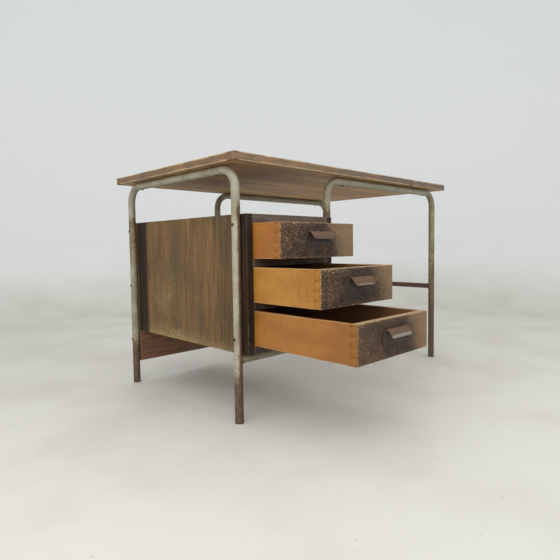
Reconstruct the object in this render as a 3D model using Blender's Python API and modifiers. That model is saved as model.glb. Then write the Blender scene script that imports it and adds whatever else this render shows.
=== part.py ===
"""Teacher's desk: a wooden top on three bent steel tube frames, with a three-drawer pedestal.

It stands on four legs. The two inner legs, at the middle of the long sides, stop below the pedestal.

Units are metres, +Z is up and the floor is Z = 0. +X runs to the sitter's right and -Y is the
side where the drawers open. The origin is on the floor, at the centre of the box that holds the
desk with its drawers standing open as modelled.
"""
import math

import bmesh
import bpy
from mathutils import Vector

# ---------------------------------------------------------------- driving dimensions

GAP = 0.0003                      # air kept between two pieces that touch

# Top
TOP_WIDTH = 1.175
TOP_DEPTH = 0.690
TOP_THICKNESS = 0.024
DESK_HEIGHT = 0.760
LIPPING_WIDTH = 0.014             # solid strip round the edge of the top
LIPPING_ROUND = 0.0025

# Steel tube frames
LEG_DIAMETER = 0.025
TUBE_WALL = 0.0015
LEG_INSET_X = 0.036               # leg centre line from the end of the top
LEG_INSET_Y = 0.041               # leg centre line from the long edge of the top
MID_LEG_X = 0.427                 # middle legs' centre line from the left end of the top
BEND_RADIUS = 0.058               # at the tube's centre line
BEND_STEPS = 7
STRETCHER_DIAMETER = 0.021
STRETCHER_HEIGHT = 0.317
RAIL_DIAMETER = 0.025

# Pedestal carcass
PEDESTAL_SETBACK = 0.010          # its front plane from the front edge of the top
PEDESTAL_BOTTOM_Z = 0.1955
PEDESTAL_HEIGHT = 0.400
SIDE_BOARD = 0.022
END_BOARD = 0.025                 # the pedestal's top and bottom boards
DIVIDER_HEIGHT = 0.022
DIVIDER_DEPTH = 0.070
RUNNER_WIDTH = 0.018
BACK_BOARD = 0.022
BACK_BOTTOM_Z = 0.080             # the back board reaches below the pedestal, to brace the legs
BOARD_ROUND = 0.0010

# Drawers
DRAWER_LENGTH = 0.600
DRAWER_SIDE_CLEARANCE = 0.0015
DRAWER_FLOOR_CLEARANCE = 0.0005
DRAWER_TOP_CLEARANCE = 0.0015
FRONT_BOARD = 0.020
DRAWER_BOARD = 0.012              # drawer sides and back
DRAWER_BACK_DROP = 0.006          # back's upper edge below the sides'
BOTTOM_PANEL = 0.005
BOTTOM_LIFT = 0.010               # panel's underside above the drawer's lower edge
GROOVE_DEPTH = 0.005
GROOVE_CLEARANCE = 0.0004
TAIL_COUNT = 4
TAIL_LENGTH = 0.014
TAIL_TIP_SHARE = 0.66             # tail's width at its tip, as a share of the tail spacing
TAIL_ROOT_SHARE = 0.46
OPEN_DISTANCE = {"upper": 0.107, "middle": 0.248, "lower": 0.358}

# Drawer pulls, of bent sheet steel
PULL_WIDTH = 0.118
PULL_HEIGHT = 0.041
PULL_CORNER = 0.006
PULL_SHEET = 0.0015
PULL_TOP_DROP = 0.025             # plate's upper edge below the drawer's upper edge
LIP_WIDTH = 0.092
LIP_ARC_RADIUS = 0.034
LIP_START_DEG = 30.0              # slope below level where the lip leaves the plate
LIP_END_DEG = 75.0
LIP_CORNER = 0.008
LIP_CORNER_SHARE = 0.98           # of the round-over, so that the lip's last row keeps some width

# Screws: head radius, head height, shank radius, shank length
FRAME_SCREW = (0.0046, 0.0026, 0.0020, 0.040)
PULL_SCREW = (0.0034, 0.0018, 0.0014, 0.014)
SCREW_RIM_SHARE = 0.25            # height of the head's straight rim, as a share of the head's height
SCREW_STOP = 0.006                # a leg screw's point ends this far short of the panel's inner face
HOLE_LEAD = 0.002                 # a screw hole starts this far outside the head's seat
TOP_SCREW_INSET = 0.085           # from the leg's centre line, along the tube
LEG_SCREW_TOP_EDGE = 0.031        # from the upper edge of the pedestal
LEG_SCREW_BOTTOM_EDGE = 0.046     # from the lower edge of the pedestal's sides
BACK_SCREW_BOTTOM_EDGE = 0.082    # from the lower edge of the back board
PULL_SCREW_SIDE = 0.0065
PULL_SCREW_DROP = 0.033

# ---------------------------------------------------------------- places worked out from them

LEG_RADIUS = LEG_DIAMETER / 2
FRONT_OUT = PULL_SHEET + LIP_ARC_RADIUS * (math.sin(math.radians(LIP_END_DEG))
                                           - math.sin(math.radians(LIP_START_DEG)))
TOP_FRONT_Y = (max(OPEN_DISTANCE.values()) + FRONT_OUT - PEDESTAL_SETBACK - TOP_DEPTH) / 2
TOP_BACK_Y = TOP_FRONT_Y + TOP_DEPTH
TOP_LEFT_X = -TOP_WIDTH / 2
TOP_UNDER_Z = DESK_HEIGHT - TOP_THICKNESS

LEFT_X = TOP_LEFT_X + LEG_INSET_X
MID_X = TOP_LEFT_X + MID_LEG_X
RIGHT_X = -LEFT_X
FRONT_Y = TOP_FRONT_Y + LEG_INSET_Y
REAR_Y = TOP_BACK_Y - LEG_INSET_Y
TUBE_TOP_Z = TOP_UNDER_Z - GAP - LEG_RADIUS

CASE_LEFT_X = LEFT_X + LEG_RADIUS + GAP
CASE_RIGHT_X = MID_X - LEG_RADIUS - GAP
CASE_FRONT_Y = TOP_FRONT_Y + PEDESTAL_SETBACK
CASE_BACK_Y = REAR_Y - BACK_BOARD / 2 - GAP
CASE_TOP_Z = PEDESTAL_BOTTOM_Z + PEDESTAL_HEIGHT
INNER_LEFT_X = CASE_LEFT_X + SIDE_BOARD
INNER_RIGHT_X = CASE_RIGHT_X - SIDE_BOARD
OPENING_HEIGHT = (PEDESTAL_HEIGHT - 2 * END_BOARD - 2 * DIVIDER_HEIGHT) / 3
RAIL_Z = PEDESTAL_BOTTOM_Z - GAP - RAIL_DIAMETER / 2
INNER_LEG_BOTTOM_Z = RAIL_Z - RAIL_DIAMETER / 2       # the inner legs end level with the rail

DRAWER_WIDTH = INNER_RIGHT_X - INNER_LEFT_X - 2 * DRAWER_SIDE_CLEARANCE
DRAWER_HEIGHT = OPENING_HEIGHT - DRAWER_FLOOR_CLEARANCE - DRAWER_TOP_CLEARANCE
DRAWER_X = (INNER_LEFT_X + INNER_RIGHT_X) / 2

# An outline drawn in XY is stood up in the YZ plane, with its thickness along +X, or in the XZ
# plane, with its thickness along -Y.
IN_YZ_PLANE = (math.pi / 2, 0, math.pi / 2)
IN_XZ_PLANE = (math.pi / 2, 0, 0)

# ---------------------------------------------------------------- scene and materials

for old in list(bpy.data.objects):
    bpy.data.objects.remove(old, do_unlink=True)

desk = bpy.data.collections.new("teacher_desk")
cutters = bpy.data.collections.new("cutters")
bpy.context.scene.collection.children.link(desk)
bpy.context.scene.collection.children.link(cutters)


def principled(name, colour, roughness, metallic=0.0):
    material = bpy.data.materials.new(name)
    material.use_nodes = True
    shader = material.node_tree.nodes["Principled BSDF"]
    shader.inputs["Base Color"].default_value = (*colour, 1.0)
    shader.inputs["Roughness"].default_value = roughness
    shader.inputs["Metallic"].default_value = metallic
    material.diffuse_color = (*colour, 1.0)
    return material


FINISHES = {
    "tube_paint": principled("tube_paint", (0.36, 0.40, 0.33), 0.45),
    "top_veneer": principled("top_veneer", (0.16, 0.11, 0.07), 0.6),
    "top_lipping": principled("top_lipping", (0.20, 0.13, 0.08), 0.6),
    "carcass_plywood": principled("carcass_plywood", (0.13, 0.09, 0.05), 0.7),
    "carcass_wood": principled("carcass_wood", (0.06, 0.035, 0.022), 0.6),
    "drawer_front": principled("drawer_front", (0.07, 0.045, 0.03), 0.6),
    "drawer_beech": principled("drawer_beech", (0.50, 0.22, 0.07), 0.6),
    "pull_paint": principled("pull_paint", (0.12, 0.08, 0.06), 0.4),
    "screw_steel": principled("screw_steel", (0.10, 0.09, 0.08), 0.5, 0.8),
}


# ---------------------------------------------------------------- modelling helpers

def add(name, data, collection=desk, finish=None, location=(0, 0, 0), rotation=(0, 0, 0), parent=None):
    """Link an object, placed relative to its parent."""
    obj = bpy.data.objects.new(name, data)
    collection.objects.link(obj)
    obj.location = location
    obj.rotation_euler = rotation
    obj.parent = parent
    if finish:
        data.materials.append(FINISHES[finish])
    if collection is cutters:
        obj.hide_render = True
        obj.display_type = "WIRE"
    return obj


def box_mesh(name, size, rounding=0.0, rounded=None, segments=2):
    """A box about its own centre, with the edges that `rounded` picks bevelled."""
    bm = bmesh.new()
    bmesh.ops.create_cube(bm, size=1.0)
    bmesh.ops.scale(bm, vec=size, verts=bm.verts)
    if rounding:
        edges = [edge for edge in bm.edges if rounded is None or rounded(edge)]
        bmesh.ops.bevel(bm, geom=edges, offset=rounding, segments=segments, profile=0.5,
                        affect="EDGES", clamp_overlap=True)
    mesh = bpy.data.meshes.new(name)
    bm.to_mesh(mesh)
    bm.free()
    return mesh


def board(name, low, high, finish, parent=None, rounding=BOARD_ROUND, rounded=None):
    """A board between two opposite corners."""
    low, high = Vector(low), Vector(high)
    mesh = box_mesh(name, high - low, rounding, rounded)
    return add(name, mesh, finish=finish, location=(low + high) / 2, parent=parent)


def mesh_from_curve(curve_object):
    """Swap a curve object for a mesh object of the same name, with its caps welded on."""
    depsgraph = bpy.context.evaluated_depsgraph_get()
    mesh = bpy.data.meshes.new_from_object(curve_object.evaluated_get(depsgraph))
    bm = bmesh.new()
    bm.from_mesh(mesh)
    bmesh.ops.remove_doubles(bm, verts=bm.verts, dist=0.00002)
    bm.to_mesh(mesh)
    bm.free()
    name = curve_object.name
    collection = curve_object.users_collection[0]
    place = (curve_object.location.copy(), curve_object.rotation_euler.copy(), curve_object.parent)
    bpy.data.objects.remove(curve_object, do_unlink=True)
    return add(name, mesh, collection, location=place[0], rotation=place[1], parent=place[2])


def flat_solid(name, outline, thickness, rotation, location, collection=desk, finish=None, parent=None):
    """A flat outline given its thickness, both ways from the outline's own plane."""
    curve = bpy.data.curves.new(name, "CURVE")
    curve.dimensions = "2D"
    curve.fill_mode = "BOTH"
    curve.extrude = thickness / 2
    spline = curve.splines.new("POLY")
    spline.points.add(len(outline) - 1)
    for point, (x, y) in zip(spline.points, outline):
        point.co = (x, y, 0, 1)
    spline.use_cyclic_u = True
    obj = mesh_from_curve(add(name, curve, collection, location=location, rotation=rotation, parent=parent))
    if finish:
        obj.data.materials.append(FINISHES[finish])
    return obj


def tube(name, points, diameter, finish):
    """An open-ended steel tube along the points, with a real wall."""
    curve = bpy.data.curves.new(name, "CURVE")
    curve.dimensions = "3D"
    curve.bevel_depth = diameter / 2
    curve.bevel_resolution = 6
    curve.use_fill_caps = False
    spline = curve.splines.new("POLY")
    spline.points.add(len(points) - 1)
    for point, place in zip(spline.points, points):
        point.co = (*place, 1)
    obj = mesh_from_curve(add(name, curve))
    obj.data.materials.append(FINISHES[finish])
    obj.data.shade_smooth()
    obj.data.set_sharp_from_angle(angle=math.radians(40))
    wall = obj.modifiers.new("wall", "SOLIDIFY")
    wall.thickness = TUBE_WALL
    wall.offset = -1.0
    return obj


def cut(target, cutter):
    boolean = target.modifiers.new("cut_" + cutter.name, "BOOLEAN")
    boolean.operation = "DIFFERENCE"
    boolean.solver = "EXACT"
    boolean.object = cutter


def rod_cutter(name, radius, length, location, rotation=(0, 0, 0), parent=None, sides=32):
    """A cylinder that starts at its location and runs along its own -Z."""
    bm = bmesh.new()
    bmesh.ops.create_cone(bm, cap_ends=True, segments=sides, radius1=radius, radius2=radius, depth=length)
    bmesh.ops.translate(bm, vec=(0, 0, -length / 2), verts=bm.verts)
    mesh = bpy.data.meshes.new(name)
    bm.to_mesh(mesh)
    bm.free()
    return add(name, mesh, cutters, location=location, rotation=rotation, parent=parent)


def screw(name, kind, location, rotation, targets, parent=None):
    """A domed screw whose head stands up its own +Z, and its hole in each target."""
    head_radius, head_height, shank_radius, shank_length = kind
    dome_steps = 2
    profile = []
    for step in range(dome_steps + 1):
        angle = math.pi / 2 * step / dome_steps
        dome = SCREW_RIM_SHARE + (1 - SCREW_RIM_SHARE) * math.cos(angle)
        profile.append((head_radius * math.sin(angle), 0, head_height * dome))
    profile.append((head_radius, 0, 0))
    profile.append((shank_radius, 0, 0))
    profile.append((shank_radius, 0, -shank_length + 2 * shank_radius))
    profile.append((0, 0, -shank_length))
    mesh = bpy.data.meshes.new(name)
    mesh.from_pydata(profile, [(i, i + 1) for i in range(len(profile) - 1)], [])
    obj = add(name, mesh, finish="screw_steel", location=location, rotation=rotation, parent=parent)
    turn = obj.modifiers.new("turn", "SCREW")
    turn.steps = 10
    turn.render_steps = 10
    turn.use_merge_vertices = True
    turn.merge_threshold = 0.00005
    turn.use_smooth_shade = True
    hole = rod_cutter("hole_" + name, shank_radius + GAP, HOLE_LEAD + shank_length + 2 * GAP,
                      (0, 0, HOLE_LEAD), parent=obj, sides=12)
    for target in targets:
        cut(target, hole)
    return obj


# ---------------------------------------------------------------- steel tube frames

def inverted_u(first, second, first_bottom=0.0):
    """Centre line of a leg frame: up from one end, along under the top and down to the other foot."""
    first, second = Vector((*first, 0)), Vector((*second, 0))
    along = (second - first).normalized()
    up = Vector((0, 0, 1))
    points = [first + up * first_bottom]
    for corner, inward in ((first, along), (second, -along)):
        centre = corner + inward * BEND_RADIUS + up * (TUBE_TOP_Z - BEND_RADIUS)
        arc = []
        for step in range(BEND_STEPS + 1):
            angle = math.pi / 2 * step / BEND_STEPS
            arc.append(centre - inward * BEND_RADIUS * math.cos(angle) + up * BEND_RADIUS * math.sin(angle))
        points += arc if corner is first else arc[::-1]
    points.append(second)
    return points


end_frame = tube("end_frame", inverted_u((LEFT_X, FRONT_Y), (LEFT_X, REAR_Y)), LEG_DIAMETER, "tube_paint")
front_frame = tube("front_frame", inverted_u((MID_X, FRONT_Y), (RIGHT_X, FRONT_Y), INNER_LEG_BOTTOM_Z),
                   LEG_DIAMETER, "tube_paint")
rear_frame = tube("rear_frame", inverted_u((MID_X, REAR_Y), (RIGHT_X, REAR_Y), INNER_LEG_BOTTOM_Z),
                  LEG_DIAMETER, "tube_paint")


def leg_cutter(name, x, y):
    """The space a leg takes, with the gap at a welded joint."""
    return rod_cutter(name, LEG_RADIUS + GAP, TUBE_TOP_Z, (x, y, TUBE_TOP_Z))


end_stretcher = tube("end_stretcher", [(RIGHT_X, FRONT_Y, STRETCHER_HEIGHT), (RIGHT_X, REAR_Y, STRETCHER_HEIGHT)],
                     STRETCHER_DIAMETER, "tube_paint")
cut(end_stretcher, leg_cutter("leg_space_right_front", RIGHT_X, FRONT_Y))
cut(end_stretcher, leg_cutter("leg_space_right_rear", RIGHT_X, REAR_Y))

pedestal_rail = tube("pedestal_rail", [(LEFT_X, FRONT_Y, RAIL_Z), (MID_X, FRONT_Y, RAIL_Z)],
                     RAIL_DIAMETER, "tube_paint")
cut(pedestal_rail, leg_cutter("leg_space_left_front", LEFT_X, FRONT_Y))
cut(pedestal_rail, leg_cutter("leg_space_mid_front", MID_X, FRONT_Y))

# ---------------------------------------------------------------- top

CORE_LEFT_X = TOP_LEFT_X + LIPPING_WIDTH
CORE_FRONT_Y = TOP_FRONT_Y + LIPPING_WIDTH
top_core = board("top_core", (CORE_LEFT_X, CORE_FRONT_Y, TOP_UNDER_Z),
                 (-CORE_LEFT_X, TOP_BACK_Y - LIPPING_WIDTH, DESK_HEIGHT), "top_veneer", rounding=0)


def lipping(name, low, high, outward):
    """An edge strip, rounded on the two long edges and the corners that face outwards."""
    def faces_out(edge):
        return all(vert.co.dot(outward) > 0 for vert in edge.verts)
    return board(name, low, high, "top_lipping", rounding=LIPPING_ROUND, rounded=faces_out)


lipping("lipping_front", (TOP_LEFT_X, TOP_FRONT_Y, TOP_UNDER_Z),
        (-TOP_LEFT_X, CORE_FRONT_Y - GAP, DESK_HEIGHT), Vector((0, -1, 0)))
lipping("lipping_back", (TOP_LEFT_X, TOP_BACK_Y - LIPPING_WIDTH + GAP, TOP_UNDER_Z),
        (-TOP_LEFT_X, TOP_BACK_Y, DESK_HEIGHT), Vector((0, 1, 0)))
lipping("lipping_left", (TOP_LEFT_X, CORE_FRONT_Y, TOP_UNDER_Z),
        (CORE_LEFT_X - GAP, TOP_BACK_Y - LIPPING_WIDTH, DESK_HEIGHT), Vector((-1, 0, 0)))
lipping("lipping_right", (-CORE_LEFT_X + GAP, CORE_FRONT_Y, TOP_UNDER_Z),
        (-TOP_LEFT_X, TOP_BACK_Y - LIPPING_WIDTH, DESK_HEIGHT), Vector((1, 0, 0)))

# ---------------------------------------------------------------- pedestal carcass

side_left = board("pedestal_side_left", (CASE_LEFT_X, CASE_FRONT_Y, PEDESTAL_BOTTOM_Z),
                  (INNER_LEFT_X, CASE_BACK_Y, CASE_TOP_Z), "carcass_plywood")
side_right = board("pedestal_side_right", (INNER_RIGHT_X, CASE_FRONT_Y, PEDESTAL_BOTTOM_Z),
                   (CASE_RIGHT_X, CASE_BACK_Y, CASE_TOP_Z), "carcass_plywood")
back_board = board("pedestal_back", (CASE_LEFT_X, REAR_Y - BACK_BOARD / 2, BACK_BOTTOM_Z),
                   (CASE_RIGHT_X, REAR_Y + BACK_BOARD / 2, CASE_TOP_Z), "carcass_wood")


def between_sides(name, depth, low_z, high_z, finish="carcass_wood"):
    """A board across the inside of the pedestal, flush with its front."""
    return board(name, (INNER_LEFT_X + GAP, CASE_FRONT_Y, low_z),
                 (INNER_RIGHT_X - GAP, CASE_FRONT_Y + depth, high_z), finish)


CASE_DEPTH = CASE_BACK_Y - CASE_FRONT_Y
between_sides("pedestal_top", CASE_DEPTH, CASE_TOP_Z - END_BOARD, CASE_TOP_Z)
between_sides("pedestal_bottom", CASE_DEPTH, PEDESTAL_BOTTOM_Z, PEDESTAL_BOTTOM_Z + END_BOARD)

# Each drawer's floor height, and the divider and runners that carry the two upper drawers.
FLOOR_Z = {}
for level, drawer in enumerate(("lower", "middle", "upper")):
    FLOOR_Z[drawer] = PEDESTAL_BOTTOM_Z + END_BOARD + level * (OPENING_HEIGHT + DIVIDER_HEIGHT)
    if drawer == "lower":
        continue
    divider_low = FLOOR_Z[drawer] - DIVIDER_HEIGHT
    between_sides(f"divider_{drawer}", DIVIDER_DEPTH, divider_low, FLOOR_Z[drawer])
    runner_front = CASE_FRONT_Y + DIVIDER_DEPTH + GAP
    board(f"runner_{drawer}_left", (INNER_LEFT_X + GAP, runner_front, divider_low),
          (INNER_LEFT_X + RUNNER_WIDTH, CASE_BACK_Y - GAP, FLOOR_Z[drawer]), "carcass_wood")
    board(f"runner_{drawer}_right", (INNER_RIGHT_X - RUNNER_WIDTH, runner_front, divider_low),
          (INNER_RIGHT_X - GAP, CASE_BACK_Y - GAP, FLOOR_Z[drawer]), "carcass_wood")

# ---------------------------------------------------------------- drawers

def tail_outlines(clearance=0.0):
    """The dovetails on the end of a drawer side, in Y and Z from the side's lower root corner."""
    spacing = DRAWER_HEIGHT / TAIL_COUNT
    tip = spacing * TAIL_TIP_SHARE / 2 + clearance
    root = spacing * TAIL_ROOT_SHARE / 2 + clearance
    tails = []
    for index in range(TAIL_COUNT):
        middle = spacing * (index + 0.5)
        tails.append([(0, middle - root), (-TAIL_LENGTH - clearance, middle - tip),
                      (-TAIL_LENGTH - clearance, middle + tip), (0, middle + root)])
    return tails


def side_outline(length):
    """Outline of a drawer side: a plain board behind, and dovetails in front."""
    outline = [(length, 0), (0, 0)]
    for tail in tail_outlines():
        outline += tail
    return outline + [(0, DRAWER_HEIGHT), (length, DRAWER_HEIGHT)]


def rounded_plate(width, height, corner, steps=5):
    """A plate's outline below its upper edge, with its two lower corners rounded."""
    half = width / 2
    outline = [(half, 0), (-half, 0)]
    for side, start in ((-1, math.pi), (1, 1.5 * math.pi)):
        for step in range(steps + 1):
            angle = start + math.pi / 2 * step / steps
            outline.append((side * (half - corner) + corner * math.cos(angle),
                            -(height - corner) + corner * math.sin(angle)))
    return outline


def lip_sheet(name):
    """The pull's lip: a sheet that follows an arc outwards and down, with rounded lower corners."""
    bm = bmesh.new()
    bmesh.ops.create_grid(bm, x_segments=6, y_segments=9, size=0.5)
    start, end = math.radians(LIP_START_DEG), math.radians(LIP_END_DEG)
    length = LIP_ARC_RADIUS * (end - start)
    for vert in bm.verts:
        across, share = vert.co.x, 0.5 - vert.co.y
        slope = start + (end - start) * share
        past = max(0.0, share * length - (length - LIP_CORNER))
        narrowing = LIP_CORNER - math.sqrt(max(0.0, LIP_CORNER ** 2 - past ** 2))
        out = LIP_ARC_RADIUS * (math.sin(slope) - math.sin(start))
        down = LIP_ARC_RADIUS * (math.cos(start) - math.cos(slope))
        vert.co = (2 * across * (LIP_WIDTH / 2 - narrowing * LIP_CORNER_SHARE), -PULL_SHEET / 2 - out, -PULL_SHEET / 2 - down)
    bmesh.ops.recalc_face_normals(bm, faces=bm.faces)
    mesh = bpy.data.meshes.new(name)
    bm.to_mesh(mesh)
    bm.free()
    return mesh


def pull(name, parent, location):
    """A screwed back plate and the lip that the fingers pull, as one bent sheet."""
    plate = flat_solid(name, rounded_plate(PULL_WIDTH, PULL_HEIGHT, PULL_CORNER), PULL_SHEET,
                       IN_XZ_PLANE, Vector(location) - Vector((0, PULL_SHEET / 2 + GAP, 0)),
                       finish="pull_paint", parent=parent)
    lip = add("lip_of_" + name, lip_sheet(name + "_lip"), cutters, location=location, parent=parent)
    thickness = lip.modifiers.new("sheet", "SOLIDIFY")
    thickness.thickness = PULL_SHEET
    thickness.offset = 0.0
    join = plate.modifiers.new("join_lip", "BOOLEAN")
    join.operation = "UNION"
    join.solver = "EXACT"
    join.object = lip
    return plate


def drawer(position, floor_z, opened):
    """A dovetailed drawer box with its pull, on an empty at its front's lower middle point."""
    prefix = f"drawer_{position}"
    slide = add(prefix + "_slide", None,
                location=(DRAWER_X, CASE_FRONT_Y - opened, floor_z + DRAWER_FLOOR_CLEARANCE))
    half = DRAWER_WIDTH / 2
    front = board(prefix + "_front", (-half, 0, 0), (half, FRONT_BOARD, DRAWER_HEIGHT), "drawer_front",
                  parent=slide, rounding=0)
    inner_half = half - DRAWER_BOARD
    groove_low = BOTTOM_LIFT - GROOVE_CLEARANCE
    groove_high = BOTTOM_LIFT + BOTTOM_PANEL + GROOVE_CLEARANCE
    tail_root_y = FRONT_BOARD + GAP
    side_length = DRAWER_LENGTH - tail_root_y
    panel_half = inner_half + GROOVE_DEPTH - GROOVE_CLEARANCE
    groove = add(f"groove_{position}", box_mesh(f"groove_{position}",
                 (2 * (inner_half + GROOVE_DEPTH), DRAWER_LENGTH, groove_high - groove_low)), cutters,
                 location=(0, FRONT_BOARD - GROOVE_DEPTH + DRAWER_LENGTH / 2, (groove_low + groove_high) / 2),
                 parent=slide)
    for side, word in ((-1, "left"), (1, "right")):
        middle_x = side * (half - DRAWER_BOARD / 2)
        side_board = flat_solid(f"{prefix}_side_{word}", side_outline(side_length), DRAWER_BOARD, IN_YZ_PLANE,
                                (middle_x, tail_root_y, 0), finish="drawer_beech", parent=slide)
        cut(side_board, groove)
        for index, outline in enumerate(tail_outlines(GAP)):
            open_root = [(y + (2 * GAP if y == 0 else 0), z) for y, z in outline]
            socket = flat_solid(f"socket_{position}_{word}_{index}", open_root, DRAWER_BOARD + 2 * GAP,
                                IN_YZ_PLANE, (middle_x, tail_root_y, 0), cutters, parent=slide)
            cut(front, socket)
    cut(front, groove)
    board(prefix + "_back", (-inner_half + GAP, DRAWER_LENGTH - DRAWER_BOARD, BOTTOM_LIFT + BOTTOM_PANEL + GAP),
          (inner_half - GAP, DRAWER_LENGTH, DRAWER_HEIGHT - DRAWER_BACK_DROP), "drawer_beech", parent=slide)
    board(prefix + "_bottom", (-panel_half, FRONT_BOARD - GROOVE_DEPTH + GROOVE_CLEARANCE, BOTTOM_LIFT),
          (panel_half, DRAWER_LENGTH, BOTTOM_LIFT + BOTTOM_PANEL), "drawer_beech", parent=slide, rounding=0)
    pull_top_z = DRAWER_HEIGHT - PULL_TOP_DROP
    plate = pull(prefix + "_pull", slide, (0, 0, pull_top_z))
    for side, word in ((-1, "left"), (1, "right")):
        place = (side * (PULL_WIDTH / 2 - PULL_SCREW_SIDE), -PULL_SHEET - 2 * GAP, pull_top_z - PULL_SCREW_DROP)
        screw(f"{prefix}_pull_screw_{word}", PULL_SCREW, place, (math.pi / 2, 0, 0), (plate, front), slide)


for position, opened in OPEN_DISTANCE.items():
    drawer(position, FLOOR_Z[position], opened)

# ---------------------------------------------------------------- frame screws

# Up through each horizontal tube into the top.
TOP_SCREWS = {
    "top_screw_end_front": (LEFT_X, FRONT_Y + TOP_SCREW_INSET, end_frame),
    "top_screw_end_rear": (LEFT_X, REAR_Y - TOP_SCREW_INSET, end_frame),
    "top_screw_front_left": (MID_X + TOP_SCREW_INSET, FRONT_Y, front_frame),
    "top_screw_front_right": (RIGHT_X - TOP_SCREW_INSET, FRONT_Y, front_frame),
    "top_screw_rear_left": (MID_X + TOP_SCREW_INSET, REAR_Y, rear_frame),
    "top_screw_rear_right": (RIGHT_X - TOP_SCREW_INSET, REAR_Y, rear_frame),
}
for name, (x, y, frame) in TOP_SCREWS.items():
    under_tube = (x, y, TUBE_TOP_Z - LEG_RADIUS - GAP)
    screw(name, FRAME_SCREW, under_tube, (math.pi, 0, 0), (frame, top_core))

# Sideways through the legs, into the pedestal's sides and back.
HIGH_Z = CASE_TOP_Z - LEG_SCREW_TOP_EDGE
SIDE_LOW_Z = PEDESTAL_BOTTOM_Z + LEG_SCREW_BOTTOM_EDGE
BACK_LOW_Z = BACK_BOTTOM_Z + BACK_SCREW_BOTTOM_EDGE
BACK_MIDDLE_Z = (HIGH_Z + BACK_LOW_Z) / 2
SHORT_FRAME_SCREW = (*FRAME_SCREW[:3], LEG_DIAMETER + SIDE_BOARD - SCREW_STOP)
LEG_SCREWS = [
    ("leg_screw_front_left_upper", -1, LEFT_X, FRONT_Y, HIGH_Z, end_frame, side_left),
    ("leg_screw_front_left_lower", -1, LEFT_X, FRONT_Y, SIDE_LOW_Z, end_frame, side_left),
    ("leg_screw_rear_left_upper", -1, LEFT_X, REAR_Y, HIGH_Z, end_frame, back_board),
    ("leg_screw_rear_left_middle", -1, LEFT_X, REAR_Y, BACK_MIDDLE_Z, end_frame, back_board),
    ("leg_screw_rear_left_lower", -1, LEFT_X, REAR_Y, BACK_LOW_Z, end_frame, back_board),
    ("leg_screw_front_mid_upper", 1, MID_X, FRONT_Y, HIGH_Z, front_frame, side_right),
    ("leg_screw_front_mid_lower", 1, MID_X, FRONT_Y, SIDE_LOW_Z, front_frame, side_right),
    ("leg_screw_rear_mid_upper", 1, MID_X, REAR_Y, HIGH_Z, rear_frame, back_board),
    ("leg_screw_rear_mid_lower", 1, MID_X, REAR_Y, SIDE_LOW_Z, rear_frame, back_board),
]
for name, outward, x, y, z, frame, panel in LEG_SCREWS:
    on_leg = (x + outward * (LEG_RADIUS + GAP), y, z)
    screw(name, SHORT_FRAME_SCREW, on_leg, (0, outward * math.pi / 2, 0), (frame, panel))
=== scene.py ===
# %% [markdown]
# # A teacher's desk, worn by a long life in a school
#
# The desk is a wooden top on three bent steel tubes, with a pedestal of three drawers screwed
# between two pairs of legs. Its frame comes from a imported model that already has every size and
# every joint. This lesson gives that frame its looks: tubes with a true bend and a true weld,
# boards whose corners have been rubbed round by hands and brooms, and finishes that show what
# the material is and how it has aged. Lengths are metres, +Z is up, and -Y is the side where
# the drawers open.

# %% Load the frame
import math

import bmesh
import bpy
import numpy as np
from mathutils import Matrix, Vector, noise


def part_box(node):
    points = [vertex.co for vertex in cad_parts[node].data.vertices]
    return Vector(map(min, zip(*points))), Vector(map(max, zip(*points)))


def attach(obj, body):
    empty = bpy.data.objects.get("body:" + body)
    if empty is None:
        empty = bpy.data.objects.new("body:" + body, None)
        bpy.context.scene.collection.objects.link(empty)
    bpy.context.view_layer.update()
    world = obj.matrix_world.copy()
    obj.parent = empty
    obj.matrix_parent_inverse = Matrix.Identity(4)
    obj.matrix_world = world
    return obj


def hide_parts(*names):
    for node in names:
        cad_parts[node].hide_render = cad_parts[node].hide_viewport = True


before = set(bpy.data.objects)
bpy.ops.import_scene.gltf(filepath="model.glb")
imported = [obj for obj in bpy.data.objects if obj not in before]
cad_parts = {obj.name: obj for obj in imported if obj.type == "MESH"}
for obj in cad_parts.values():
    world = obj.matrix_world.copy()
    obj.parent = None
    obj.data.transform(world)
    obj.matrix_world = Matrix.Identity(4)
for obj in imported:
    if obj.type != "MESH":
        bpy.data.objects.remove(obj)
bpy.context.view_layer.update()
MM = 0.001

# %% [markdown]
# ## Where things are
#
# Nothing here is measured again: each place is read from the frame. The tube frames give the
# six legs, and the boxes of the pedestal and the drawers give the rest.

# %% Places of the legs and the pedestal
end_low, end_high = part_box("end_frame")
front_low, front_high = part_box("front_frame")
TUBE_RADIUS = (end_high.x - end_low.x) / 2
LEFT_X = end_low.x + TUBE_RADIUS
MID_X = front_low.x + TUBE_RADIUS
RIGHT_X = front_high.x - TUBE_RADIUS
FRONT_Y = end_low.y + TUBE_RADIUS
REAR_Y = end_high.y - TUBE_RADIUS
TUBE_TOP_Z = end_high.z - TUBE_RADIUS
CASE_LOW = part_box("pedestal_side_left")[0]
CASE_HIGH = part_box("pedestal_side_right")[1]
DRAWERS = ("upper", "middle", "lower")
print("legs at x", [round(x, 3) for x in (LEFT_X, MID_X, RIGHT_X)])
print("legs at y", [round(y, 3) for y in (FRONT_Y, REAR_Y)])

# %% [markdown]
# ## The camera
#
# The viewer crouches at the desk's front left corner, a little below the height of the top, and
# uses a fairly wide lens. That is why the near leg looks long and the underside of the top shows.
# The camera is built from three directions: where it looks, what is right and what is up.
#
# Every new object has to be linked to the scene before it shows, so one short function does it.

# %% Linking and camera


def linked(name, data):
    """A new object with its data (a mesh, lamp or camera), linked to the scene."""
    made = bpy.data.objects.new(name, data)
    bpy.context.scene.collection.objects.link(made)
    return made


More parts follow.
